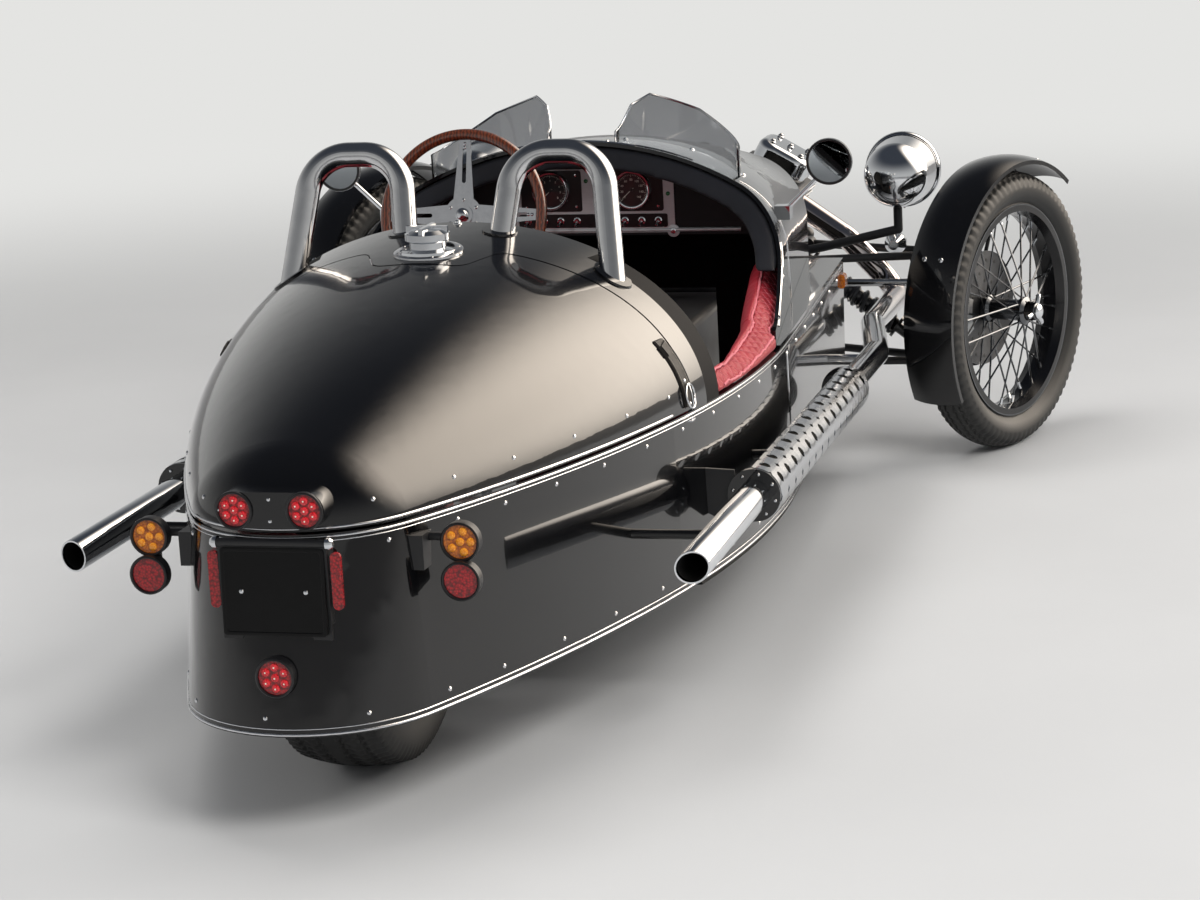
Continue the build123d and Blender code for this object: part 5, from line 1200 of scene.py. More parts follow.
# Lid straps. Bridle leather 40 mm wide, doubled at the top under a stitched square, buckled
# low on the flank with a chromed oval buckle and pinned to the hull below the seam.
strap_hide = leather("bridle_leather", "#141210", "#221d19", 0.35)
dress("lid_straps", strap_hide)
linen = blended("waxed_linen", "#8b8577", "#a59f90", 4, (0.6, 0.8))
straps = skin("lid_straps")
for side, word in SIDE_WORDS.items():
    middle_row, edge_rows = [], ([], [])
    for step in range(33):
        z = 0.529 + 0.118 * step / 32
        seen_row = []
        for index in range(61):
            y = 0.660 + 0.0012 * index
            hit, normal = laid(straps, Vector((side * 0.9, y, z)), Vector((0, y, z)))
            if hit and hit.x * side > 0.3:
                seen_row.append((hit, normal))
        if len(seen_row) > 6:
            middle_row.append(seen_row[len(seen_row) // 2])
            edge_rows[0].append(seen_row[3])
            edge_rows[1].append(seen_row[-4])
    stitches = []
    for row in edge_rows:
        for (a, na), (b, nb) in zip(row[1:-1], row[2:]):
            stitches.append([a + na * 0.0004, a.lerp(b, 0.6) + nb * 0.0004])
    swept(f"strap_stitches_{word}", stitches, 0.0005, linen, "car", sides=5)
    low_place, low_normal = middle_row[4]
    up = (middle_row[8][0] - middle_row[2][0]).normalized()
    wide = up.cross(low_normal).normalized()
    loop_row = []
    for index in range(28):
        turn = 2 * math.pi * index / 28
        loop_row.append(
            low_place
            + wide * math.cos(turn) * 0.0170
            + up * math.sin(turn) * 0.0230
            + low_normal * 0.0035
        )
    swept(f"strap_buckle_{word}", [loop_row], 0.0022, chrome, "car", loop=True)
    swept(
        f"strap_prong_{word}",
        [
            [
                low_place - up * 0.021 + low_normal * 0.005, low_place + up * 0.004
                + low_normal * 0.007, low_place + up * 0.024 + low_normal * 0.005
            ]
        ],
        0.0014,
        chrome,
        "car",
    )
    studs(
        f"strap_rivets_{word}",
        [(middle_row[k][0], middle_row[k][1]) for k in (0, 12, 30)],
        0.0042,
        0.0022,
        chrome,
        "car",
    )
    top_place, top_normal = middle_row[-4]
    top_up = (middle_row[-1][0] - middle_row[-6][0]).normalized()
    top_wide = top_up.cross(top_normal).normalized()
    patch = []
    for sx, sz in ((-1, -1), (1, -1), (1, 1), (-1, 1)):
        patch.append(top_place + top_wide * sx * 0.0125 + top_up * sz * 0.0125)
    points = [p + top_normal * 0.0005 for p in patch] + [
        top_place + (p - top_place) * 0.9 + top_normal * 0.003 for p in patch
    ]
    faces = [(4, 5, 6, 7)] + [(k, (k + 1) % 4, 4 + (k + 1) % 4, 4 + k) for k in range(4)]
    mesh_piece(f"strap_patch_{word}", points, faces, strap_hide, "car", smooth=False)
    hit, normal = laid(hull, Vector((side * 0.9, low_place.y, 0.4985)), Vector((0, low_place.y, 0.4985)))
    swept(
        f"strap_staple_{word}",
        [
            [
                hit + normal * 0.001 - BACKWARD * 0.012, hit + normal * 0.008 - BACKWARD * 0.012,
                hit + normal * 0.008 + BACKWARD * 0.012, hit + normal * 0.001 + BACKWARD * 0.012
            ]
        ],
        0.0022,
        chrome,
        "car",
    )

# Tail lamps. Pressed steel bar with two red lamps of seven cells each, the plate hung from a
# hinge rod below it, and turned lamps on brackets at each side.


def moulded_lens(name, dark, bright, cell_mm):
    """Coloured acrylic of a lamp, glossy outside and pressed into small cells behind, each cell painted
    lighter at its middle and darker towards its edge as painted light and shade.
    """
    material, output = blank(name)
    place = put(material, "TexCoord").outputs["Object"]
    pattern = put(material, "TexVoronoi", {"Vector": place, "Scale": 1000.0 / cell_mm}, feature="F1")
    depth = put(material, "MapRange", {"Value": pattern.outputs["Distance"], "From Max": 0.8})
    tint = put(
        material,
        "MixRGB",
        {"Fac": depth.outputs[0], "Color1": linear(bright), "Color2": linear(dark)},
    )
    pressed = put(
        material,
        "Bump",
        {"Height": pattern.outputs["Distance"], "Distance": 0.0006, "Strength": 0.6},
    )
    return closed(
        material,
        output,
        put(
            material,
            "BsdfPrincipled",
            {
                "Base Color": tint.outputs[0],
                "Roughness": 0.16,
                "IOR": 1.49,
                "Specular IOR Level": 0.25,
                "Coat Weight": 0.8,
                "Coat Roughness": 0.02,
                "Normal": pressed.outputs[0],
            },
        ),
    )


# Acrylic: deep and clear, in cells of 4.2 mm, and of 2.4 mm in the small domes, whose lighter tones are
# painted light
red_lens = moulded_lens("red_acrylic", "#5c080d", "#c4141d", 4.2)
red_dome = moulded_lens("red_acrylic_dome", "#b3121b", "#ff3a44", 2.4)
amber_lens = moulded_lens("amber_acrylic", "#8a3f03", "#d9790c", 4.2)
amber_dome = moulded_lens("amber_acrylic_dome", "#e07f0a", "#ffb43c", 2.4)
dress("tail_lamps", red_lens)
dress("red_lenses", red_lens)
dress("amber_lenses", amber_lens)
dress("lamp_bar", body_lacquer)
dress("lamp_shells", powder_black)
dress("plate_panel", powder_black)
TAIL_FACE = spot(0, 2862, 0).y
lamp_hearts = [Vector((side * 0.060, TAIL_FACE, 0.556)) for side in (1, -1)]
low_heart = spot(0, 2893, 286)
indicators = [spot(side * 272, 2728, 473) for side in (1, -1)]
side_reflectors = [spot(side * 273, 2740, 410) for side in (1, -1)]


def cells(hearts, count, ring_radius):
    """Places of the small domes of a lamp: one in the middle and the rest in a ring."""
    row = []
    for heart in hearts:
        row.append((heart, BACKWARD))
        for index in range(count):
            turn = 2 * math.pi * (index + 0.5) / count
            row.append((heart + Vector((math.cos(turn), 0, math.sin(turn))) * ring_radius, BACKWARD))
    return row


DOME = [(0.0, 0.0072), (0.0016, 0.0068), (0.0028, 0.0050), (0.0034, 0.0026), (0.0036, 0.0)]
turned("tail_lamp_cells", cells(lamp_hearts, 6, 0.0165), DOME, red_dome, "lid", steps=18)
turned("low_lamp_cells", cells([low_heart], 6, 0.0180), DOME, red_dome, "car", steps=18)
turned("indicator_cells", cells(indicators, 5, 0.0180), DOME, amber_dome, "car", steps=18)
RIM = [(-0.001, 0.0282), (0.0035, 0.0290), (0.0048, 0.0310), (0.0035, 0.0332), (-0.002, 0.0336)]
turned(
    "lid_lamp_rims", [(p, BACKWARD) for p in lamp_hearts], [(a, r - 0.0016) for a, r in RIM],
    powder_black, "lid"
)
# A matt white dot on the tip of each red cell, a painted highlight that stands in for the glint of each dome
PAINTED_GLINT = [(0.0034, 0.0015), (0.0040, 0.0013), (0.0043, 0.0)]
turned("tail_lamp_painted_glints", cells(lamp_hearts, 6, 0.0165), PAINTED_GLINT, dial_white, "lid", steps=10)
turned("low_lamp_painted_glints", cells([low_heart], 6, 0.0180), PAINTED_GLINT, dial_white, "car", steps=10)
turned(
    "side_lamp_rims",
    [(p, BACKWARD) for p in (*indicators, *side_reflectors, low_heart)],
    RIM,
    powder_black,
    "car",
)
bar_screws = [(Vector((0.0, TAIL_FACE, z)), BACKWARD) for z in (0.538, 0.574)]
bar_screws += [(Vector((side * 0.0885, TAIL_FACE, 0.556)), BACKWARD) for side in (1, -1)]
studs("lamp_bar_screws", bar_screws, 0.0034, 0.0018, chrome, "lid")
ends = [(Vector((side * 0.093, TAIL_FACE, 0.503)), Vector((side, 0, 0))) for side in (1, -1)]
turned(
    "hinge_nuts",
    ends,
    [(0, 0.0072), (0.0, 0.0105), (0.006, 0.0105), (0.008, 0.009), (0.012, 0.006), (0.013, 0)],
    chrome,
    "car",
    steps=24,
)
# Plate: a blank pressed sheet with a raised border, enamelled black over alloy, held by two
# screws, its foot packed out to clear the swell of the tail
plate_paint = blended("black_plate_enamel", "#060606", "#0b0b0c", 30, (0.3, 0.4), Specular_IOR_Level=0.2)
PLATE_Y, PLATE_MIDDLE, PLATE_HALF, PLATE_CORNER = 1.6155, 0.4235, 0.0720, 0.006
tail_foot, _ = laid(
    hull, Vector((0, 2.2, PLATE_MIDDLE - PLATE_HALF)), Vector((0, 0, PLATE_MIDDLE - PLATE_HALF))
)
packing = max(tail_foot.y + 0.0025 - PLATE_Y, 0.0)


def off_tail(x, z, lift):
    """Place on the plate, which leans out towards its foot."""
    down = (PLATE_MIDDLE + PLATE_HALF - z) / (2 * PLATE_HALF)
    return Vector((x, PLATE_Y + lift + packing * down, z))


points, faces = [], []
tiers = (
    (0.0885, PLATE_HALF, None),
    (0.0885, PLATE_HALF, 0.0016),
    (0.0865, 0.0700, 0.0022),
    (0.0835, 0.0670, 0.0022),
    (0.0820, 0.0655, 0.0012),
)
for half_x, half_z, lift in tiers:
    middle = Vector((0, 0, PLATE_MIDDLE))
    for corner in rounded(middle, half_x - PLATE_CORNER, half_z - PLATE_CORNER, PLATE_CORNER, 5):
        flat = Vector((corner.x, PLATE_Y + 0.0002, corner.z))
        points.append(flat if lift is None else off_tail(corner.x, corner.z, lift))
loop = 24
for tier in range(len(tiers) - 1):
    for index in range(loop):
        nxt = (index + 1) % loop
        a, b = tier * loop, (tier + 1) * loop
        faces.append((a + index, a + nxt, b + nxt, b + index))
last = (len(tiers) - 1) * loop
faces.append(tuple(range(last, last + loop)))
faces.append(tuple(range(loop - 1, -1, -1)))
mesh_piece("blank_plate", points, faces, plate_paint, "car", smooth=False)
studs(
    "plate_screws",
    [(off_tail(side * 0.055, PLATE_MIDDLE, 0.0012), BACKWARD) for side in (1, -1)],
    0.0042,
    0.0022,
    chrome,
    "car",
)

# Exhausts. Bent steel tube, chromed all along, under half-round shields of perforated
# stainless sheet that are clamped to black rings.
# Chrome over hot steel: bright, faintly straw coloured near the head
pipe_chrome, surface = blank("heated_chrome")
place = put(pipe_chrome, "TexCoord").outputs["Object"]
station = put(pipe_chrome, "SeparateXYZ", {"Vector": place}).outputs["Y"]
heat = put(
    pipe_chrome, "MapRange",
    {"Value": station, "From Min": -1.36, "From Max": -0.95, "To Min": 0.45, "To Max": 0.0}
)
patch = put(pipe_chrome, "TexNoise", {"Vector": place, "Scale": 14.0, "Detail": 3.0})
straw = put(
    pipe_chrome,
    "MixRGB",
    {"Fac": patch.outputs["Fac"], "Color1": linear("#b48a4e"), "Color2": linear("#9c86a0")},
)
tint = put(
    pipe_chrome,
    "MixRGB",
    {"Fac": heat.outputs[0], "Color1": linear("#d9dadc"), "Color2": straw.outputs[0]},
)
sheen = put(pipe_chrome, "MapRange", {"Value": patch.outputs["Fac"], "To Min": 0.05, "To Max": 0.15})
# The stays that reach inward to the hull, behind the front panels, are enamelled black
folded = put(pipe_chrome, "VectorMath", {0: place}, operation="ABSOLUTE")
reach = put(pipe_chrome, "SeparateXYZ", {"Vector": folded.outputs[0]}).outputs["X"]
inward = put(pipe_chrome, "Math", {0: reach, 1: 0.5440}, operation="LESS_THAN")
rearward = put(pipe_chrome, "Math", {0: station, 1: -0.30}, operation="GREATER_THAN")
on_stay = put(pipe_chrome, "Math", {0: inward.outputs[0], 1: rearward.outputs[0]}, operation="MULTIPLY")
tint = put(
    pipe_chrome,
    "MixRGB",
    {"Fac": on_stay.outputs[0], "Color1": tint.outputs[0], "Color2": linear("#0b0b0c")},
)
bare = put(pipe_chrome, "Math", {0: 1.0, 1: on_stay.outputs[0]}, operation="SUBTRACT")
closed(
    pipe_chrome,
    surface,
    put(
        pipe_chrome,
        "BsdfPrincipled",
        {"Base Color": tint.outputs[0], "Roughness": sheen.outputs[0], "Metallic": bare.outputs[0]},
    ),
)
dress("exhausts", pipe_chrome)

PIPE_X, PIPE_Z = 575, 343

# Perforated stainless: bright rolled sheet with a faint grain along the pipe
shield_steel, surface = blank("perforated_stainless")
place = put(shield_steel, "TexCoord").outputs["Object"]
rolled = put(shield_steel, "Mapping", {"Vector": place, "Scale": (900.0, 8.0, 900.0)})
grain = put(shield_steel, "TexNoise", {"Vector": rolled.outputs[0], "Scale": 1.0, "Detail": 3.0})
tint = put(
    shield_steel,
    "MixRGB",
    {"Fac": grain.outputs["Fac"], "Color1": linear("#b4b6ba"), "Color2": linear("#d2d4d7")},
)
sheen = put(shield_steel, "MapRange", {"Value": grain.outputs["Fac"], "To Min": 0.09, "To Max": 0.17})
closed(
    shield_steel,
    surface,
    put(
        shield_steel,
        "BsdfPrincipled",
        {"Base Color": tint.outputs[0], "Roughness": sheen.outputs[0], "Metallic": 1.0},
    ),
)

# The sheet is laid out flat in cells of one 22 mm hole each, then rolled round the pipe
SHIELD_RADIUS, SHIELD_START, SHIELD_END, HOLE_RADIUS = 0.052, 950.0, 1886.0, 0.0112
HOLES_A_ROW, ROUND_HOLE = 14, 24
BANDS = ((-80, -42, -5), (-5, 32, 53), (53, 74, 96))
for side, word in SIDE_WORDS.items():
    points, faces = [], []
    cell = (SHIELD_END - SHIELD_START) / HOLES_A_ROW
    for low, row_angle, high in BANDS:
        for index in range(HOLES_A_ROW):
            heart_station = SHIELD_START + cell * (index + 0.5)
            base = len(points)
            top = math.radians(high - row_angle) * SHIELD_RADIUS
            bottom = math.radians(low - row_angle) * SHIELD_RADIUS
            for step in range(ROUND_HOLE):
                turn = 2 * math.pi * (step + 0.5) / ROUND_HOLE
                u, v = math.cos(turn), math.sin(turn)
                edge = top if v > 0 else -bottom
                grow = min(cell / 2000 / max(abs(u), 1e-6), edge / max(abs(v), 1e-6))
                for part in (HOLE_RADIUS, 0.45 * grow + 0.55 * HOLE_RADIUS, grow):
                    angle = math.radians(row_angle) + v * part / SHIELD_RADIUS
                    out = Vector((side * math.cos(angle), 0, math.sin(angle)))
                    points.append(
                        spot(side * PIPE_X, heart_station + u * part * 1000, PIPE_Z)
                        + out * SHIELD_RADIUS
                    )
            for step in range(ROUND_HOLE):
                nxt = (step + 1) % ROUND_HOLE
                for part in (0, 1):
                    a, b = base + step * 3 + part, base + nxt * 3 + part
                    faces.append((a, a + 1, b + 1, b) if side > 0 else (a, b, b + 1, a + 1))
    shield = mesh_piece(f"heat_shield_{word}", points, faces, shield_steel, "car")
    sheet = shield.modifiers.new("sheet", "SOLIDIFY")
    sheet.thickness, sheet.offset = 0.0015, -1.0
    shield.modifiers.new("crisp_edges", "EDGE_SPLIT").split_angle = math.radians(40)
    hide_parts("heat_shields")

# Under the sheet a sleeve round the pipe, black with a woven grain: painted shade, so that the holes read
# dark
hole_shade_sleeve, surface = blank("black_sleeve_painted_shade")
place = put(hole_shade_sleeve, "TexCoord").outputs["Object"]
wound = put(hole_shade_sleeve, "Mapping", {"Vector": place, "Rotation": (0.35, 0.0, 0.0), "Scale": (420, 60, 420)})
weave = put(hole_shade_sleeve, "TexNoise", {"Vector": wound.outputs[0], "Scale": 1.0, "Detail": 3.0})
tint = put(
    hole_shade_sleeve,
    "MixRGB",
    {"Fac": weave.outputs["Fac"], "Color1": linear("#050505"), "Color2": linear("#131312")},
)
ribs = put(hole_shade_sleeve, "Bump", {"Height": weave.outputs["Fac"], "Distance": 0.0006, "Strength": 0.7})
closed(
    hole_shade_sleeve,
    surface,
    put(
        hole_shade_sleeve,
        "BsdfPrincipled",
        {"Base Color": tint.outputs[0], "Roughness": 0.92, "Normal": ribs.outputs[0]},
    ),
)
WRAP_LENGTH = (SHIELD_END - SHIELD_START) / 1000 - 0.004
turned(
    "pipe_sleeves_painted_shade",
    [(spot(side * PIPE_X, SHIELD_START + 2, PIPE_Z), BACKWARD) for side in (1, -1)],
    [(0, 0.0288), (0, 0.0345), (WRAP_LENGTH, 0.0345), (WRAP_LENGTH, 0.0288), (0, 0.0288)],
    hole_shade_sleeve,
    "car",
)

# Black enamelled end rings with their bolts, and a hanger from the rear ring to the hull
rings, ring_bolts = [], []
for side in (1, -1):
    for station in (952.0, 1880.0):
        rings.append((spot(side * PIPE_X, station, PIPE_Z), BACKWARD))
    for index in range(8):
        turn = 2 * math.pi * (index + 0.3) / 8
        out = Vector((math.cos(turn), 0, math.sin(turn))) * 0.0415
        ring_bolts.append((spot(side * PIPE_X, 1892, PIPE_Z) + out, BACKWARD))
turned(
    "shield_rings",
    rings,
    [(0, 0.0292), (0, 0.0508), (0.012, 0.0508), (0.012, 0.0292), (0, 0.0292)],
    body_lacquer,
    "car",
)
studs("ring_bolts", ring_bolts, 0.0040, 0.0030, chrome, "car", sides=6)
for side, word in SIDE_WORDS.items():
    wall_hit, _ = laid(hull, spot(side * 1000, 1886, 360), spot(0, 1886, 360))
    points, faces = [], []
    inner_x, outer_x = abs(wall_hit.x) * 1000 - 1.0, PIPE_X - 34.0
    outline = [
        (inner_x, 307), (inner_x + 14, 300), (outer_x, 322), (outer_x + 8, PIPE_Z), (outer_x, 364),
        (outer_x - 4, 390), (inner_x, 393)
    ]
    for station in (1880.0, 1886.0):
        points += [spot(side * x, station, z) for x, z in outline]
    count = len(outline)
    faces = [tuple(range(count)), tuple(range(2 * count - 1, count - 1, -1))]
    faces += [(k, count + k, count + (k + 1) % count, (k + 1) % count) for k in range(count)]
    mesh_piece(f"shield_hanger_{word}", points, faces, powder_black, "car", smooth=False)

# Tailpipes: bright outer tubes from the shield's end ring to a mouth cut at a slant, which
# faces outward, with soot inside
soot = blended("soot", "#040404", "#0d0c0b", 12, (0.85, 0.98))
MOUTH, MOUTH_SLANT = 2397.0, 0.38
for side, word in SIDE_WORDS.items():
    for part, material, shape in (
        (
            "tip", chrome,
            (
                (1893, 0.0287), (1893, 0.0296), (MOUTH - 1, 0.0296), (MOUTH, 0.0290),
                (MOUTH, 0.0262), (MOUTH - 9, 0.0256)
            )
        ),
        (
            "throat", soot,
            ((MOUTH - 9, 0.0256), (2250, 0.0254), (2249, 0.0200), (2249, 0.0100), (2249, 0.0001))
        ),
    ):
        points, faces, steps = [], [], 48
        for station, radius in shape:
            for step in range(steps):
                turn = 2 * math.pi * step / steps
                x = math.cos(turn) * radius
                slant = MOUTH_SLANT * -side * x if station > 2300 else 0.0
                points.append(
                    spot(side * PIPE_X, station, PIPE_Z)
                    + Vector((x, slant, math.sin(turn) * radius))
                )
        for base in range(0, len(points) - steps, steps):
            for step in range(steps):
                nxt = (step + 1) % steps
                faces.append((base + step, base + nxt, base + steps + nxt, base + steps + step))
        mesh_piece(f"tailpipe_{part}_{word}", points, faces, material, "car")
clamps = [(spot(side * PIPE_X, 905, PIPE_Z), BACKWARD) for side in (1, -1)]
turned(
    "pipe_clamps",
    clamps,
    [(-0.011, 0.0286), (-0.011, 0.0312), (-0.009, 0.0322), (0.009, 0.0322), (0.011, 0.0312), (0.011, 0.0286)],
    stainless,
    "car",
)

# Chassis. Round steel tube, welded and powder coated; wishbones and knuckles of the same
# black, with spun dampers inside wound springs, and a cast rack housing.
dress("chassis_frame", powder_black)
dress("wishbones", powder_black)
dress("swing_arm", powder_black)
# Sand-cast aluminium: grey, matt, with the grain of the mould
cast_aluminium = blended(
    "cast_aluminium", "#85878a", "#a3a5a8", 18, (0.38, 0.56), ripple_mm=0.18, ripple_patch=2.4, Metallic=1.0
)
dress("rack_housing", cast_aluminium)
dress("rack_tie_rods", stainless)
damper_black = blended("damper_enamel", "#131315", "#1d1d20", 30, (0.2, 0.3), Coat_Weight=0.6)
dress("coil_overs", damper_black)
# Spring steel: wound wire with a grey dipped finish
spring_wire = blended("spring_steel", "#3a3b3e", "#55575a", 12, (0.25, 0.4), Metallic=0.8)
coils = []
DAMPER_FOOT = spot(590, -35, 236)
DAMPER_TOP = spot(245 + 19 + 0.3 + 16, -35, 478)
for side in (1, -1):
    top, foot = Vector((side * DAMPER_TOP.x, DAMPER_TOP.y, DAMPER_TOP.z)), Vector(
        (side * DAMPER_FOOT.x, DAMPER_FOOT.y, DAMPER_FOOT.z)
    )
    along = (foot - top).normalized()
    out = along.orthogonal().normalized()
    other = along.cross(out)
    row, turns, first, last = [], 9, 0.048, (foot - top).length - 0.093
    for index in range(turns * 18 + 1):
        turn = 2 * math.pi * index / 18
        reach = first + (last - first) * index / (turns * 18)
        row.append(top + along * reach + (out * math.cos(turn) + other * math.sin(turn)) * 0.0242)
    coils.append(row)
swept("springs", coils, 0.0048, spring_wire, "car", sides=8)

# Engine. Air cooled V-twin: polished crankcase, black barrels whose fins are machined bright
# at their edges, chromed rocker covers, and one air cleaner between the heads.
# Polished castings: bright with a trace of the casting's waviness
polished_casting = blended(
    "polished_casting", "#b4b6b9", "#cfd1d3", 26, (0.14, 0.30), ripple_mm=0.05, ripple_patch=9, Metallic=1.0
)
dress("crankcase", polished_casting)
# The gearbox is given the chassis black as painted shade: its top shows through the footwell, where the
# cockpit lies dark
dress("gearbox", powder_black)
dress("rocker_covers", chrome)
dress("intake", powder_black)
fin_metal, surface = blank("finned_alloy")
place = put(fin_metal, "TexCoord").outputs["Object"]
folded = put(fin_metal, "VectorMath", {0: place}, operation="ABSOLUTE")
parts = put(fin_metal, "SeparateXYZ", {"Vector": place})
width_part = put(fin_metal, "SeparateXYZ", {"Vector": folded.outputs[0]}).outputs["X"]
bank = math.radians(30)
from_crank_y = put(fin_metal, "Math", {0: parts.outputs["Y"], 1: 1.400}, operation="ADD")
from_crank_z = put(fin_metal, "Math", {0: parts.outputs["Z"], 1: 0.300}, operation="SUBTRACT")
one = put(fin_metal, "Math", {0: width_part, 1: math.cos(bank)}, operation="MULTIPLY")
sideways = put(
    fin_metal, "Math", {0: from_crank_z.outputs[0], 1: -math.sin(bank), 2: one.outputs[0]},
    operation="MULTIPLY_ADD"
)
two = put(fin_metal, "Math", {0: width_part, 1: math.sin(bank)}, operation="MULTIPLY")
along_bank = put(
    fin_metal, "Math", {0: from_crank_z.outputs[0], 1: math.cos(bank), 2: two.outputs[0]},
    operation="MULTIPLY_ADD"
)
side_reach = put(fin_metal, "Math", {0: sideways.outputs[0]}, operation="ABSOLUTE")
flat = put(fin_metal, "CombineXYZ", {"X": sideways.outputs[0], "Y": from_crank_y.outputs[0]})
round_reach = put(fin_metal, "VectorMath", {0: flat.outputs[0]}, operation="LENGTH")
in_head = put(fin_metal, "Math", {0: along_bank.outputs[0], 1: 0.345}, operation="GREATER_THAN")
head_edge = put(fin_metal, "Math", {0: side_reach.outputs[0], 1: 0.0905}, operation="GREATER_THAN")
barrel_edge = put(fin_metal, "Math", {0: round_reach.outputs["Value"], 1: 0.0905}, operation="GREATER_THAN")
choice = put(
    fin_metal, "MixRGB",
    {"Fac": in_head.outputs[0], "Color1": barrel_edge.outputs[0], "Color2": head_edge.outputs[0]}
)
grit = put(fin_metal, "TexNoise", {"Vector": place, "Scale": 380.0, "Detail": 3.0})
tint = put(
    fin_metal, "MixRGB",
    {"Fac": choice.outputs[0], "Color1": linear("#151517"), "Color2": linear("#c4c6c9")}
)
sheen = put(fin_metal, "MapRange", {"Value": grit.outputs["Fac"], "To Min": 0.28, "To Max": 0.5})
rough = put(fin_metal, "Bump", {"Height": grit.outputs["Fac"], "Distance": 0.0002, "Strength": 0.5})
closed(
    fin_metal,
    surface,
    put(
        fin_metal,
        "BsdfPrincipled",
        {
            "Base Color": tint.outputs[0],
            "Metallic": choice.outputs[0],
            "Roughness": sheen.outputs[0],
            "Normal": rough.outputs[0],
        },
    ),
)
dress("cylinders", fin_metal)


def bank_place(side, distance, across=0.0, fore=0.0):
    """Point of one bank: distance from the crank along it, to its outer side, and rearward."""
    along = Vector((side * math.sin(bank), 0, math.cos(bank)))
    outer = Vector((side * math.cos(bank), 0, -math.sin(bank)))
    return spot(0, -150, 300) + along * distance + outer * across + Vector((0, fore, 0))


cover_nuts, plug_places = [], []
for side in (1, -1):
    along = Vector((side * math.sin(bank), 0, math.cos(bank)))
    outer = Vector((side * math.cos(bank), 0, -math.sin(bank)))
    for fore, across in ((-0.050, 0.040), (0.050, 0.040), (-0.050, -0.040), (0.050, -0.040), (0, 0)):
        cover_nuts.append((bank_place(side, 0.4900, across, fore), along))
    plug_places.append((bank_place(side, 0.385, 0.0, 0.0815), Vector((0, 1, 0.15))))
turned(
    "rocker_nuts",
    cover_nuts,
    [(-0.002, 0.0085), (0.004, 0.0085), (0.005, 0.0070), (0.009, 0.0055), (0.011, 0.0)],
    stainless,
    "car",
    steps=12,
)
porcelain = blended("glazed_porcelain", "#e4e0d6", "#efece4", 30, (0.12, 0.2))
turned(
    "spark_plugs",
    plug_places,
    [
        (0, 0.010), (0.006, 0.010), (0.006, 0.0065), (0.022, 0.0055), (0.026, 0.0035),
        (0.032, 0.0035), (0.033, 0)
    ],
    porcelain,
    "car",
    steps=16,
)
case_bolts = []
for index in range(10):
    turn = 2 * math.pi * index / 10
    case_bolts.append(
        (spot(0, -284, 300) + Vector((math.cos(turn), 0, math.sin(turn))) * 0.076, Vector((0, -1, 0)))
    )
studs("case_bolts", case_bolts, 0.0060, 0.0045, stainless, "car", sides=6)
turned(
    "case_boss",
    [(spot(0, -284, 300), Vector((0, -1, 0)))],
    [(0, 0.058), (0.004, 0.056), (0.006, 0.050), (0.004, 0.044), (0.004, 0.030), (0.012, 0.026), (0.013, 0)],
    polished_casting,
    "car",
)
tube_rows = []
for side in (1, -1):
    for across in (-0.030, 0.030):
        low, high = bank_place(side, 0.130, across * 0.7, -0.096), bank_place(side, 0.432, across, -0.096)
        tube_rows.append(
            [low, high, bank_place(side, 0.447, across, -0.086), bank_place(side, 0.452, across, -0.070)]
        )
swept("pushrod_tubes", tube_rows, 0.0085, chrome, "car", sides=14)
collars = []
for row in tube_rows:
    collars.append((row[0].lerp(row[1], 0.17), row[1] - row[0]))
    collars.append((row[0].lerp(row[1], 0.97), row[1] - row[0]))
turned(
    "pushrod_collars",
    collars,
    [(-0.006, 0.0086), (-0.006, 0.0120), (0.006, 0.0120), (0.006, 0.0086)],
    stainless,
    "car",
    steps=14,
)

# Headlamps. Spun and chromed bowls with a rolled rim, a silvered dish and a bulb
# behind fluted glass.
dress("headlamps", chrome)
glass, surface = blank("fluted_glass")
place = put(glass, "TexCoord").outputs["Object"]
flutes = put(glass, "TexWave", {"Vector": place, "Scale": 26.0}, bands_direction="X")
bumps = put(glass, "Bump", {"Height": flutes.outputs["Fac"], "Distance": 0.0015, "Strength": 0.5})
clean = put(glass, "TexNoise", {"Vector": place, "Scale": 60.0})
film = put(glass, "MapRange", {"Value": clean.outputs["Fac"], "To Min": 0.01, "To Max": 0.05})
closed(
    glass,
    surface,
    put(
        glass,
        "BsdfPrincipled",
        {
            "Base Color": linear("#f2f5f5"),
            "Roughness": film.outputs[0],
            "Transmission Weight": 1.0,
            "IOR": 1.5,
            "Normal": bumps.outputs[0],
        },
    ),
)
dress("headlamp_glasses", glass)
FORWARD = Vector((0, -1, 0))
lamp_hearts = [spot(side * 540, 0, 674) for side in (1, -1)]
turned(
    "headlamp_dishes",
    [(p, FORWARD) for p in lamp_hearts],
    [(0.0845, 0.0755), (0.070, 0.0720), (0.0695, 0.0700), (0.0715, 0.0600), (0.0690, 0.0)],
    mirror_glass,
    "car",
)
turned(
    "headlamp_bulbs",
    [(p + FORWARD * 0.070, FORWARD) for p in lamp_hearts],
    [(0.0, 0.010), (0.004, 0.010), (0.006, 0.006), (0.012, 0.0045), (0.0150, 0.0)],
    porcelain,
    "car",
    steps=20,
)
turned(
    "headlamp_rims",
    [(p, FORWARD) for p in lamp_hearts],
    [(0.078, 0.0918), (0.082, 0.0936), (0.092, 0.0938), (0.0965, 0.0915), (0.0975, 0.0878), (0.0950, 0.0850)],
    chrome,
    "car",
    steps=64,
)
studs(
    "headlamp_studs",
    [(p + Vector((0, 0, -0.0935)) + FORWARD * 0.087, Vector((0, 0, -1))) for p in lamp_hearts],
    0.004, 0.004, chrome, "car"
)

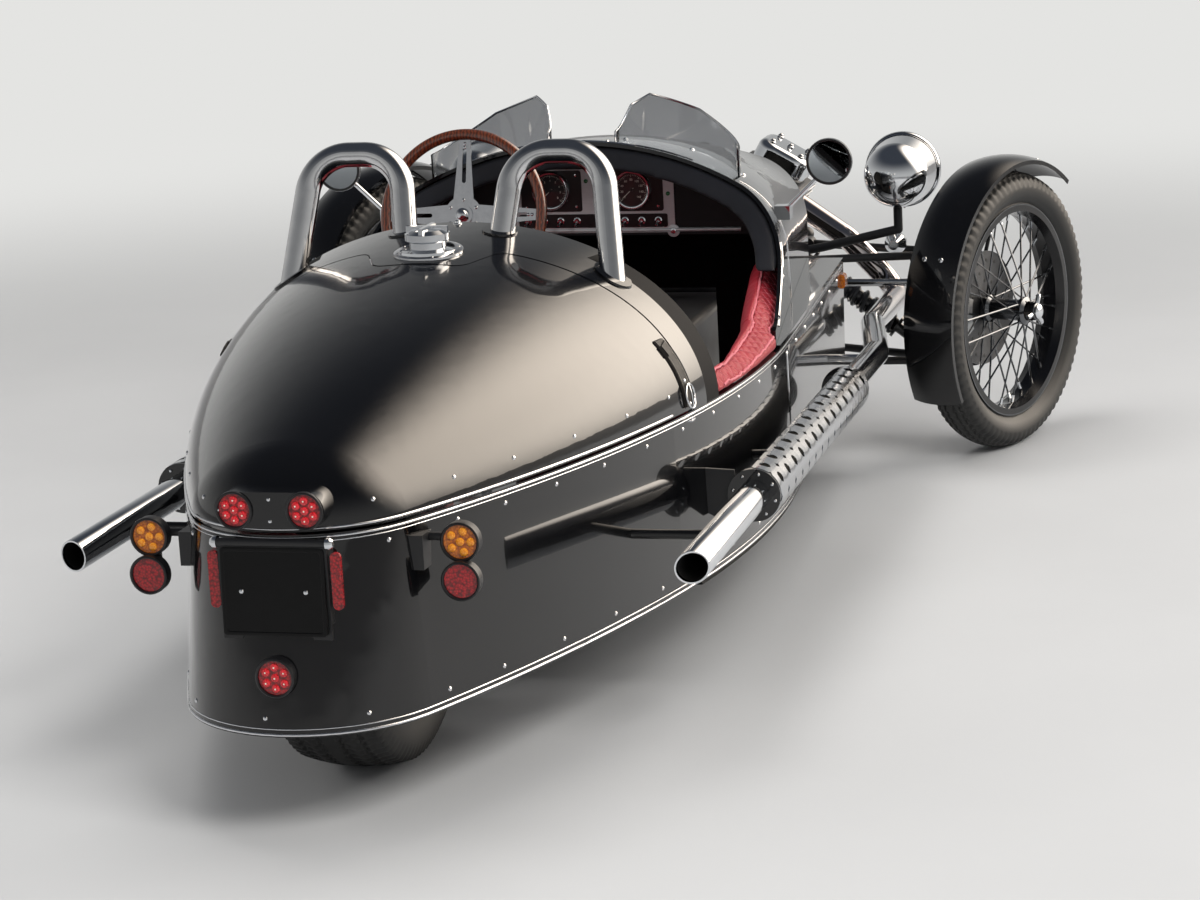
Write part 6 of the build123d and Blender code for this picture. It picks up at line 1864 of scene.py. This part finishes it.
# Front wheels. Black enamelled rims laced with bright steel spokes to a chromed hub, tall
# narrow tyres of moulded rubber, and a brake disc with its caliper on the knuckle.
TURNED = math.radians(-21.7)
EAR_LINE = ((0.018, 0.088), (0.036, 0.090), (0.041, 0.088))
KINGPINS = {side: spot(side * 705, -35, 0) for side in (1, -1)}
AXLES = {side: Matrix.Rotation(TURNED, 3, "Z") @ Vector((side, 0, 0)) for side in (1, -1)}
HEARTS = {}
for side in (1, -1):
    straight = spot(side * 800, -35, 338) - KINGPINS[side]
    HEARTS[side] = KINGPINS[side] + Matrix.Rotation(TURNED, 3, "Z") @ straight


def wheel_place(side, angle, radius, across):
    """Point of a front wheel: degrees ahead of its top, radius, and offset to the outside."""
    axle = AXLES[side]
    ahead_dir = Vector((0, 0, 1)).cross(axle) * side
    turn = math.radians(angle)
    return HEARTS[side] + axle * across + (
        ahead_dir * -math.sin(turn) + Vector((0, 0, 1)) * math.cos(turn)
    ) * radius


def wheel_frame(material, side):
    """Radius from the axle and offset along it, as sockets, for a piece of one front wheel."""
    place = put(material, "TexCoord").outputs["Object"]
    away = put(material, "VectorMath", {0: place, 1: HEARTS[side]}, operation="SUBTRACT")
    across = put(material, "VectorMath", {0: away.outputs[0], 1: AXLES[side]}, operation="DOT_PRODUCT")
    length = put(material, "VectorMath", {0: away.outputs[0]}, operation="LENGTH")
    squares = put(
        material, "Math", {0: across.outputs["Value"], 1: across.outputs["Value"]},
        operation="MULTIPLY"
    )
    whole = put(
        material, "Math", {0: length.outputs["Value"], 1: length.outputs["Value"]},
        operation="MULTIPLY"
    )
    left_over = put(material, "Math", {0: whole.outputs[0], 1: squares.outputs[0]}, operation="SUBTRACT")
    radius = put(material, "Math", {0: left_over.outputs[0], 1: 0.5}, operation="POWER")
    return place, radius.outputs[0], across.outputs["Value"]


for side, word in SIDE_WORDS.items():
    # Wheel: black enamel on the rim; spokes and hub in dark grey metal, painted shade on the spokes' bright
    # steel; a turned grey brake disc
    laced, surface = blank(f"laced_wheel_{word}")
    place, radius, across = wheel_frame(laced, side)
    on_rim = put(laced, "Math", {0: radius, 1: 0.2325}, operation="GREATER_THAN")
    on_edge = put(laced, "Math", {0: radius, 1: 0.2560}, operation="GREATER_THAN")
    inboard = put(laced, "Math", {0: across, 1: -0.0515}, operation="LESS_THAN")
    wide = put(laced, "Math", {0: radius, 1: 0.0305}, operation="GREATER_THAN")
    on_disc = put(laced, "Math", {0: inboard.outputs[0], 1: wide.outputs[0]}, operation="MULTIPLY")
    turned_lines = put(laced, "Math", {0: radius, 1: 5200.0}, operation="MULTIPLY")
    waves = put(laced, "Math", {0: turned_lines.outputs[0]}, operation="SINE")
    patch = put(laced, "TexNoise", {"Vector": place, "Scale": 40.0, "Detail": 4.0})
    bright = put(
        laced,
        "MixRGB",
        {"Fac": patch.outputs["Fac"], "Color1": linear("#55575a"), "Color2": linear("#77797c")},
    )
    disc_tone = put(
        laced, "MixRGB",
        {"Fac": on_disc.outputs[0], "Color1": bright.outputs[0], "Color2": linear("#5b5d60")}
    )
    enamel = put(laced, "Math", {0: on_rim.outputs[0], 1: on_edge.outputs[0]}, operation="SUBTRACT")
    tint = put(
        laced, "MixRGB",
        {"Fac": enamel.outputs[0], "Color1": disc_tone.outputs[0], "Color2": linear("#0d0d0f")}
    )
    metal = put(laced, "Math", {0: 1.0, 1: enamel.outputs[0]}, operation="SUBTRACT")
    base_sheen = put(laced, "MapRange", {"Value": patch.outputs["Fac"], "To Min": 0.10, "To Max": 0.20})
    sheen = put(
        laced, "MixRGB",
        {"Fac": on_disc.outputs[0], "Color1": base_sheen.outputs[0], "Color2": (0.36, 0.36, 0.36, 1)}
    )
    grooves = put(laced, "Math", {0: waves.outputs[0], 1: on_disc.outputs[0]}, operation="MULTIPLY")
    bump = put(laced, "Bump", {"Height": grooves.outputs[0], "Distance": 0.00008, "Strength": 0.6})
    closed(
        laced,
        surface,
        put(
            laced,
            "BsdfPrincipled",
            {
                "Base Color": tint.outputs[0],
                "Metallic": metal.outputs[0],
                "Roughness": sheen.outputs[0],
                "Normal": bump.outputs[0],
            },
        ),
    )
    dress(f"wire_wheel_{word}", laced)

    # Nipples of the spokes, where each meets the rim
    nipples = []
    for row, (across, lean_way) in enumerate(((-0.038, 1), (-0.038, -1), (0.056, 1), (0.056, -1))):
        for index in range(9):
            angle = 40 * (index + row / 4)
            inner = wheel_place(side, angle, 0.031, across)
            outer = wheel_place(side, angle + lean_way * 38, 0.236, across * 0.2)
            way = (outer - inner).normalized()
            nipples.append((outer - way * 0.020, way))
    turned(
        f"nipples_{word}",
        nipples,
        [(0, 0.0026), (0.0, 0.0036), (0.014, 0.0042), (0.018, 0.0052), (0.021, 0.0052)],
        chrome,
        f"{word}_wheel",
        steps=8,
    )
    # Drilled holes of the brake disc, drawn as thin black discs on both its faces: painted shade where the
    # holes are
    holes = []
    for ring_radius, count, shift in ((0.068, 12, 0), (0.092, 12, 15), (0.118, 18, 5)):
        for index in range(count):
            for face, way in ((-0.0579, -1), (-0.0521, 1)):
                holes.append(
                    (wheel_place(side, 360 * index / count + shift, ring_radius, face), AXLES[side] * way)
                )
    turned(
        f"disc_hole_painted_shades_{word}",
        holes,
        [(0.0001, 0.0050), (0.0003, 0.0046), (0.0002, 0.0)],
        bakelite,
        f"{word}_wheel",
        steps=12,
    )
    turned(
        f"hub_cap_{word}",
        [(HEARTS[side], AXLES[side])],
        [(0.0955, 0.0185), (0.0985, 0.0180), (0.1010, 0.0150), (0.1030, 0.0110), (0.1040, 0.0)],
        chrome,
        f"{word}_wheel",
    )
    ears = []
    for index in range(3):
        ears.append([wheel_place(side, 120 * index + 20, *at) for at in EAR_LINE])
    swept(f"hub_ears_{word}", ears, 0.0062, chrome, f"{word}_wheel", sides=10)

# Tyre rubber: charcoal rather than black, dusty in its grain, satin on the crown
rubber, surface = blank("tyre_rubber")
place = put(rubber, "TexCoord").outputs["Object"]
dust = put(rubber, "TexNoise", {"Vector": place, "Scale": 11.0, "Detail": 6.0})
grain = put(rubber, "TexNoise", {"Vector": place, "Scale": 900.0, "Detail": 2.0})
tint = put(
    rubber, "MixRGB",
    {"Fac": dust.outputs["Fac"], "Color1": linear("#131313"), "Color2": linear("#262625")}
)
sheen = put(rubber, "MapRange", {"Value": dust.outputs["Fac"], "To Min": 0.48, "To Max": 0.68})
pitted = put(rubber, "Bump", {"Height": grain.outputs["Fac"], "Distance": 0.0002, "Strength": 0.4})
closed(
    rubber,
    surface,
    put(
        rubber,
        "BsdfPrincipled",
        {"Base Color": tint.outputs[0], "Roughness": sheen.outputs[0], "Normal": pitted.outputs[0]},
    ),
)


def through(a, b, c, steps):
    """Points of the arc through three points of a section, without its last."""
    d = 2 * (a[0] * (b[1] - c[1]) + b[0] * (c[1] - a[1]) + c[0] * (a[1] - b[1]))
    sa, sb, sc = (p[0] ** 2 + p[1] ** 2 for p in (a, b, c))
    ux = (sa * (b[1] - c[1]) + sb * (c[1] - a[1]) + sc * (a[1] - b[1])) / d
    uy = (sa * (c[0] - b[0]) + sb * (a[0] - c[0]) + sc * (b[0] - a[0])) / d
    first, last = (math.atan2(p[1] - uy, p[0] - ux) for p in (a, c))
    middle = math.atan2(b[1] - uy, b[0] - ux)
    if not min(first, last) <= middle <= max(first, last):
        last += 2 * math.pi if last < first else -2 * math.pi
    reach = math.hypot(a[0] - ux, a[1] - uy)
    row = []
    for index in range(steps):
        turn = first + (last - first) * index / steps
        row.append((ux + reach * math.cos(turn), uy + reach * math.sin(turn)))
    return row


def tyre(name, heart, axle, half_width, outer, bead, seat, shoulder, blocks, body, node):
    """Moulded tyre: ribbed crown cut by zigzag grooves, notched shoulders, ringed walls."""
    wall_top = (half_width - shoulder[0], outer - shoulder[1])
    wall = through((seat, bead + shoulder[2]), (half_width, outer - shoulder[3]), wall_top, 14)
    crown = through(wall_top, (0, outer), (-wall_top[0], wall_top[1]), 30)
    half = [(seat, bead), *wall, *crown[:15]]
    section = half + [(0.0, outer)] + [(-x, r) for x, r in half[::-1]]
    grooves = (0.24, 0.62)
    axle = axle.normalized()
    up = Vector((0, 0, 1))
    fore = up.cross(axle)
    points, faces = [], []
    steps = blocks * 4
    for index in range(steps):
        turn = 2 * math.pi * index / steps
        phase = index % 4
        out = up * math.cos(turn) + fore * math.sin(turn)
        zigzag = 0.05 if phase < 2 else -0.05
        for x, r in section:
            share = abs(x) / wall_top[0]
            cut = 0.0
            if r > wall_top[1] - 1e-5:
                for groove in grooves:
                    gap = abs(share - groove - (zigzag if x > 0 else -zigzag))
                    cut = max(cut, 0.006 * max(0.0, 1 - (gap / 0.055) ** 4))
                if share > 0.80 and phase in (1, 2):
                    cut = max(cut, 0.0055)
            elif r > wall_top[1] - 0.022 and phase in (1, 2):
                cut = 0.0042
            elif abs(r - (bead + shoulder[2] + 0.010)) < 0.004:
                cut = -0.0009
            points.append(heart + axle * x + out * (r - cut))
    count = len(section)
    for index in range(steps):
        here, there = index * count, (index + 1) % steps * count
        for k in range(count - 1):
            faces.append((here + k, here + k + 1, there + k + 1, there + k))
        faces.append((here + count - 1, here, there, there + count - 1))
    made = mesh_piece(name, points, faces, rubber, body)
    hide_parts(node)
    return made


for side, word in SIDE_WORDS.items():
    tyre(
        f"front_tyre_{word}",
        HEARTS[side],
        AXLES[side],
        0.0525,
        0.338,
        0.2473,
        0.0340,
        (0.008, 0.014, 0.015, 0.042),
        84,
        f"{word}_wheel",
        f"tyre_{word}",
    )

    # Knuckle in black enamel, its caliper of bare cast alloy
    forged, surface = blank(f"knuckle_enamel_{word}")
    place, radius, across = wheel_frame(forged, side)
    near = put(forged, "Math", {0: radius, 1: 0.088}, operation="GREATER_THAN")
    close_in = put(forged, "Math", {0: across, 1: -0.078}, operation="GREATER_THAN")
    caliper = put(forged, "Math", {0: near.outputs[0], 1: close_in.outputs[0]}, operation="MULTIPLY")
    grit = put(forged, "TexNoise", {"Vector": place, "Scale": 260.0, "Detail": 3.0})
    tint = put(
        forged, "MixRGB",
        {"Fac": caliper.outputs[0], "Color1": linear("#131315"), "Color2": linear("#b3b5b8")}
    )
    sheen = put(forged, "MapRange", {"Value": grit.outputs["Fac"], "To Min": 0.30, "To Max": 0.46})
    bump = put(forged, "Bump", {"Height": grit.outputs["Fac"], "Distance": 0.0002, "Strength": 0.5})
    closed(
        forged,
        surface,
        put(
            forged,
            "BsdfPrincipled",
            {
                "Base Color": tint.outputs[0],
                "Metallic": caliper.outputs[0],
                "Roughness": sheen.outputs[0],
                "Normal": bump.outputs[0],
            },
        ),
    )
    dress(f"knuckle_{word}", forged)

    # Mudguard: rolled aluminium sprayed gloss black, bolted to its stays by domed nuts
    dress(f"mudguard_{word}", body_lacquer)
    guard = skin(f"mudguard_{word}")
    guard_bolts = []
    for angle in (22, -62):
        for across in (-0.022, 0.022):
            start = wheel_place(side, angle, 0.50, across)
            hit, normal = laid(guard, start, wheel_place(side, angle, 0.0, across))
            if hit:
                guard_bolts.append((hit, normal))
    studs(f"guard_bolts_{word}", guard_bolts, 0.0065, 0.0042, chrome, f"{word}_knuckle")

# Rear wheel. A wide tyre on a dished alloy disc, carried between the arms of the swing arm.
dress("rear_rim", cast_aluminium)
REAR_AXLE = (2447, 310)
tyre(
    "rear_tyre_moulded",
    spot(0, *REAR_AXLE),
    Vector((1, 0, 0)),
    0.0975,
    0.310,
    0.1923,
    0.0797,
    (0.012, 0.012, 0.018, 0.060),
    96,
    "rear_wheel",
    "rear_tyre",
)
turned(
    "axle_nuts",
    [(spot(side * 152, *REAR_AXLE), Vector((side, 0, 0))) for side in (1, -1)],
    [
        (0.0, 0.012), (0.0, 0.021), (0.014, 0.021), (0.016, 0.018), (0.016, 0.011), (0.024, 0.010),
        (0.024, 0.0)
    ],
    stainless,
    "car",
    steps=6,
)
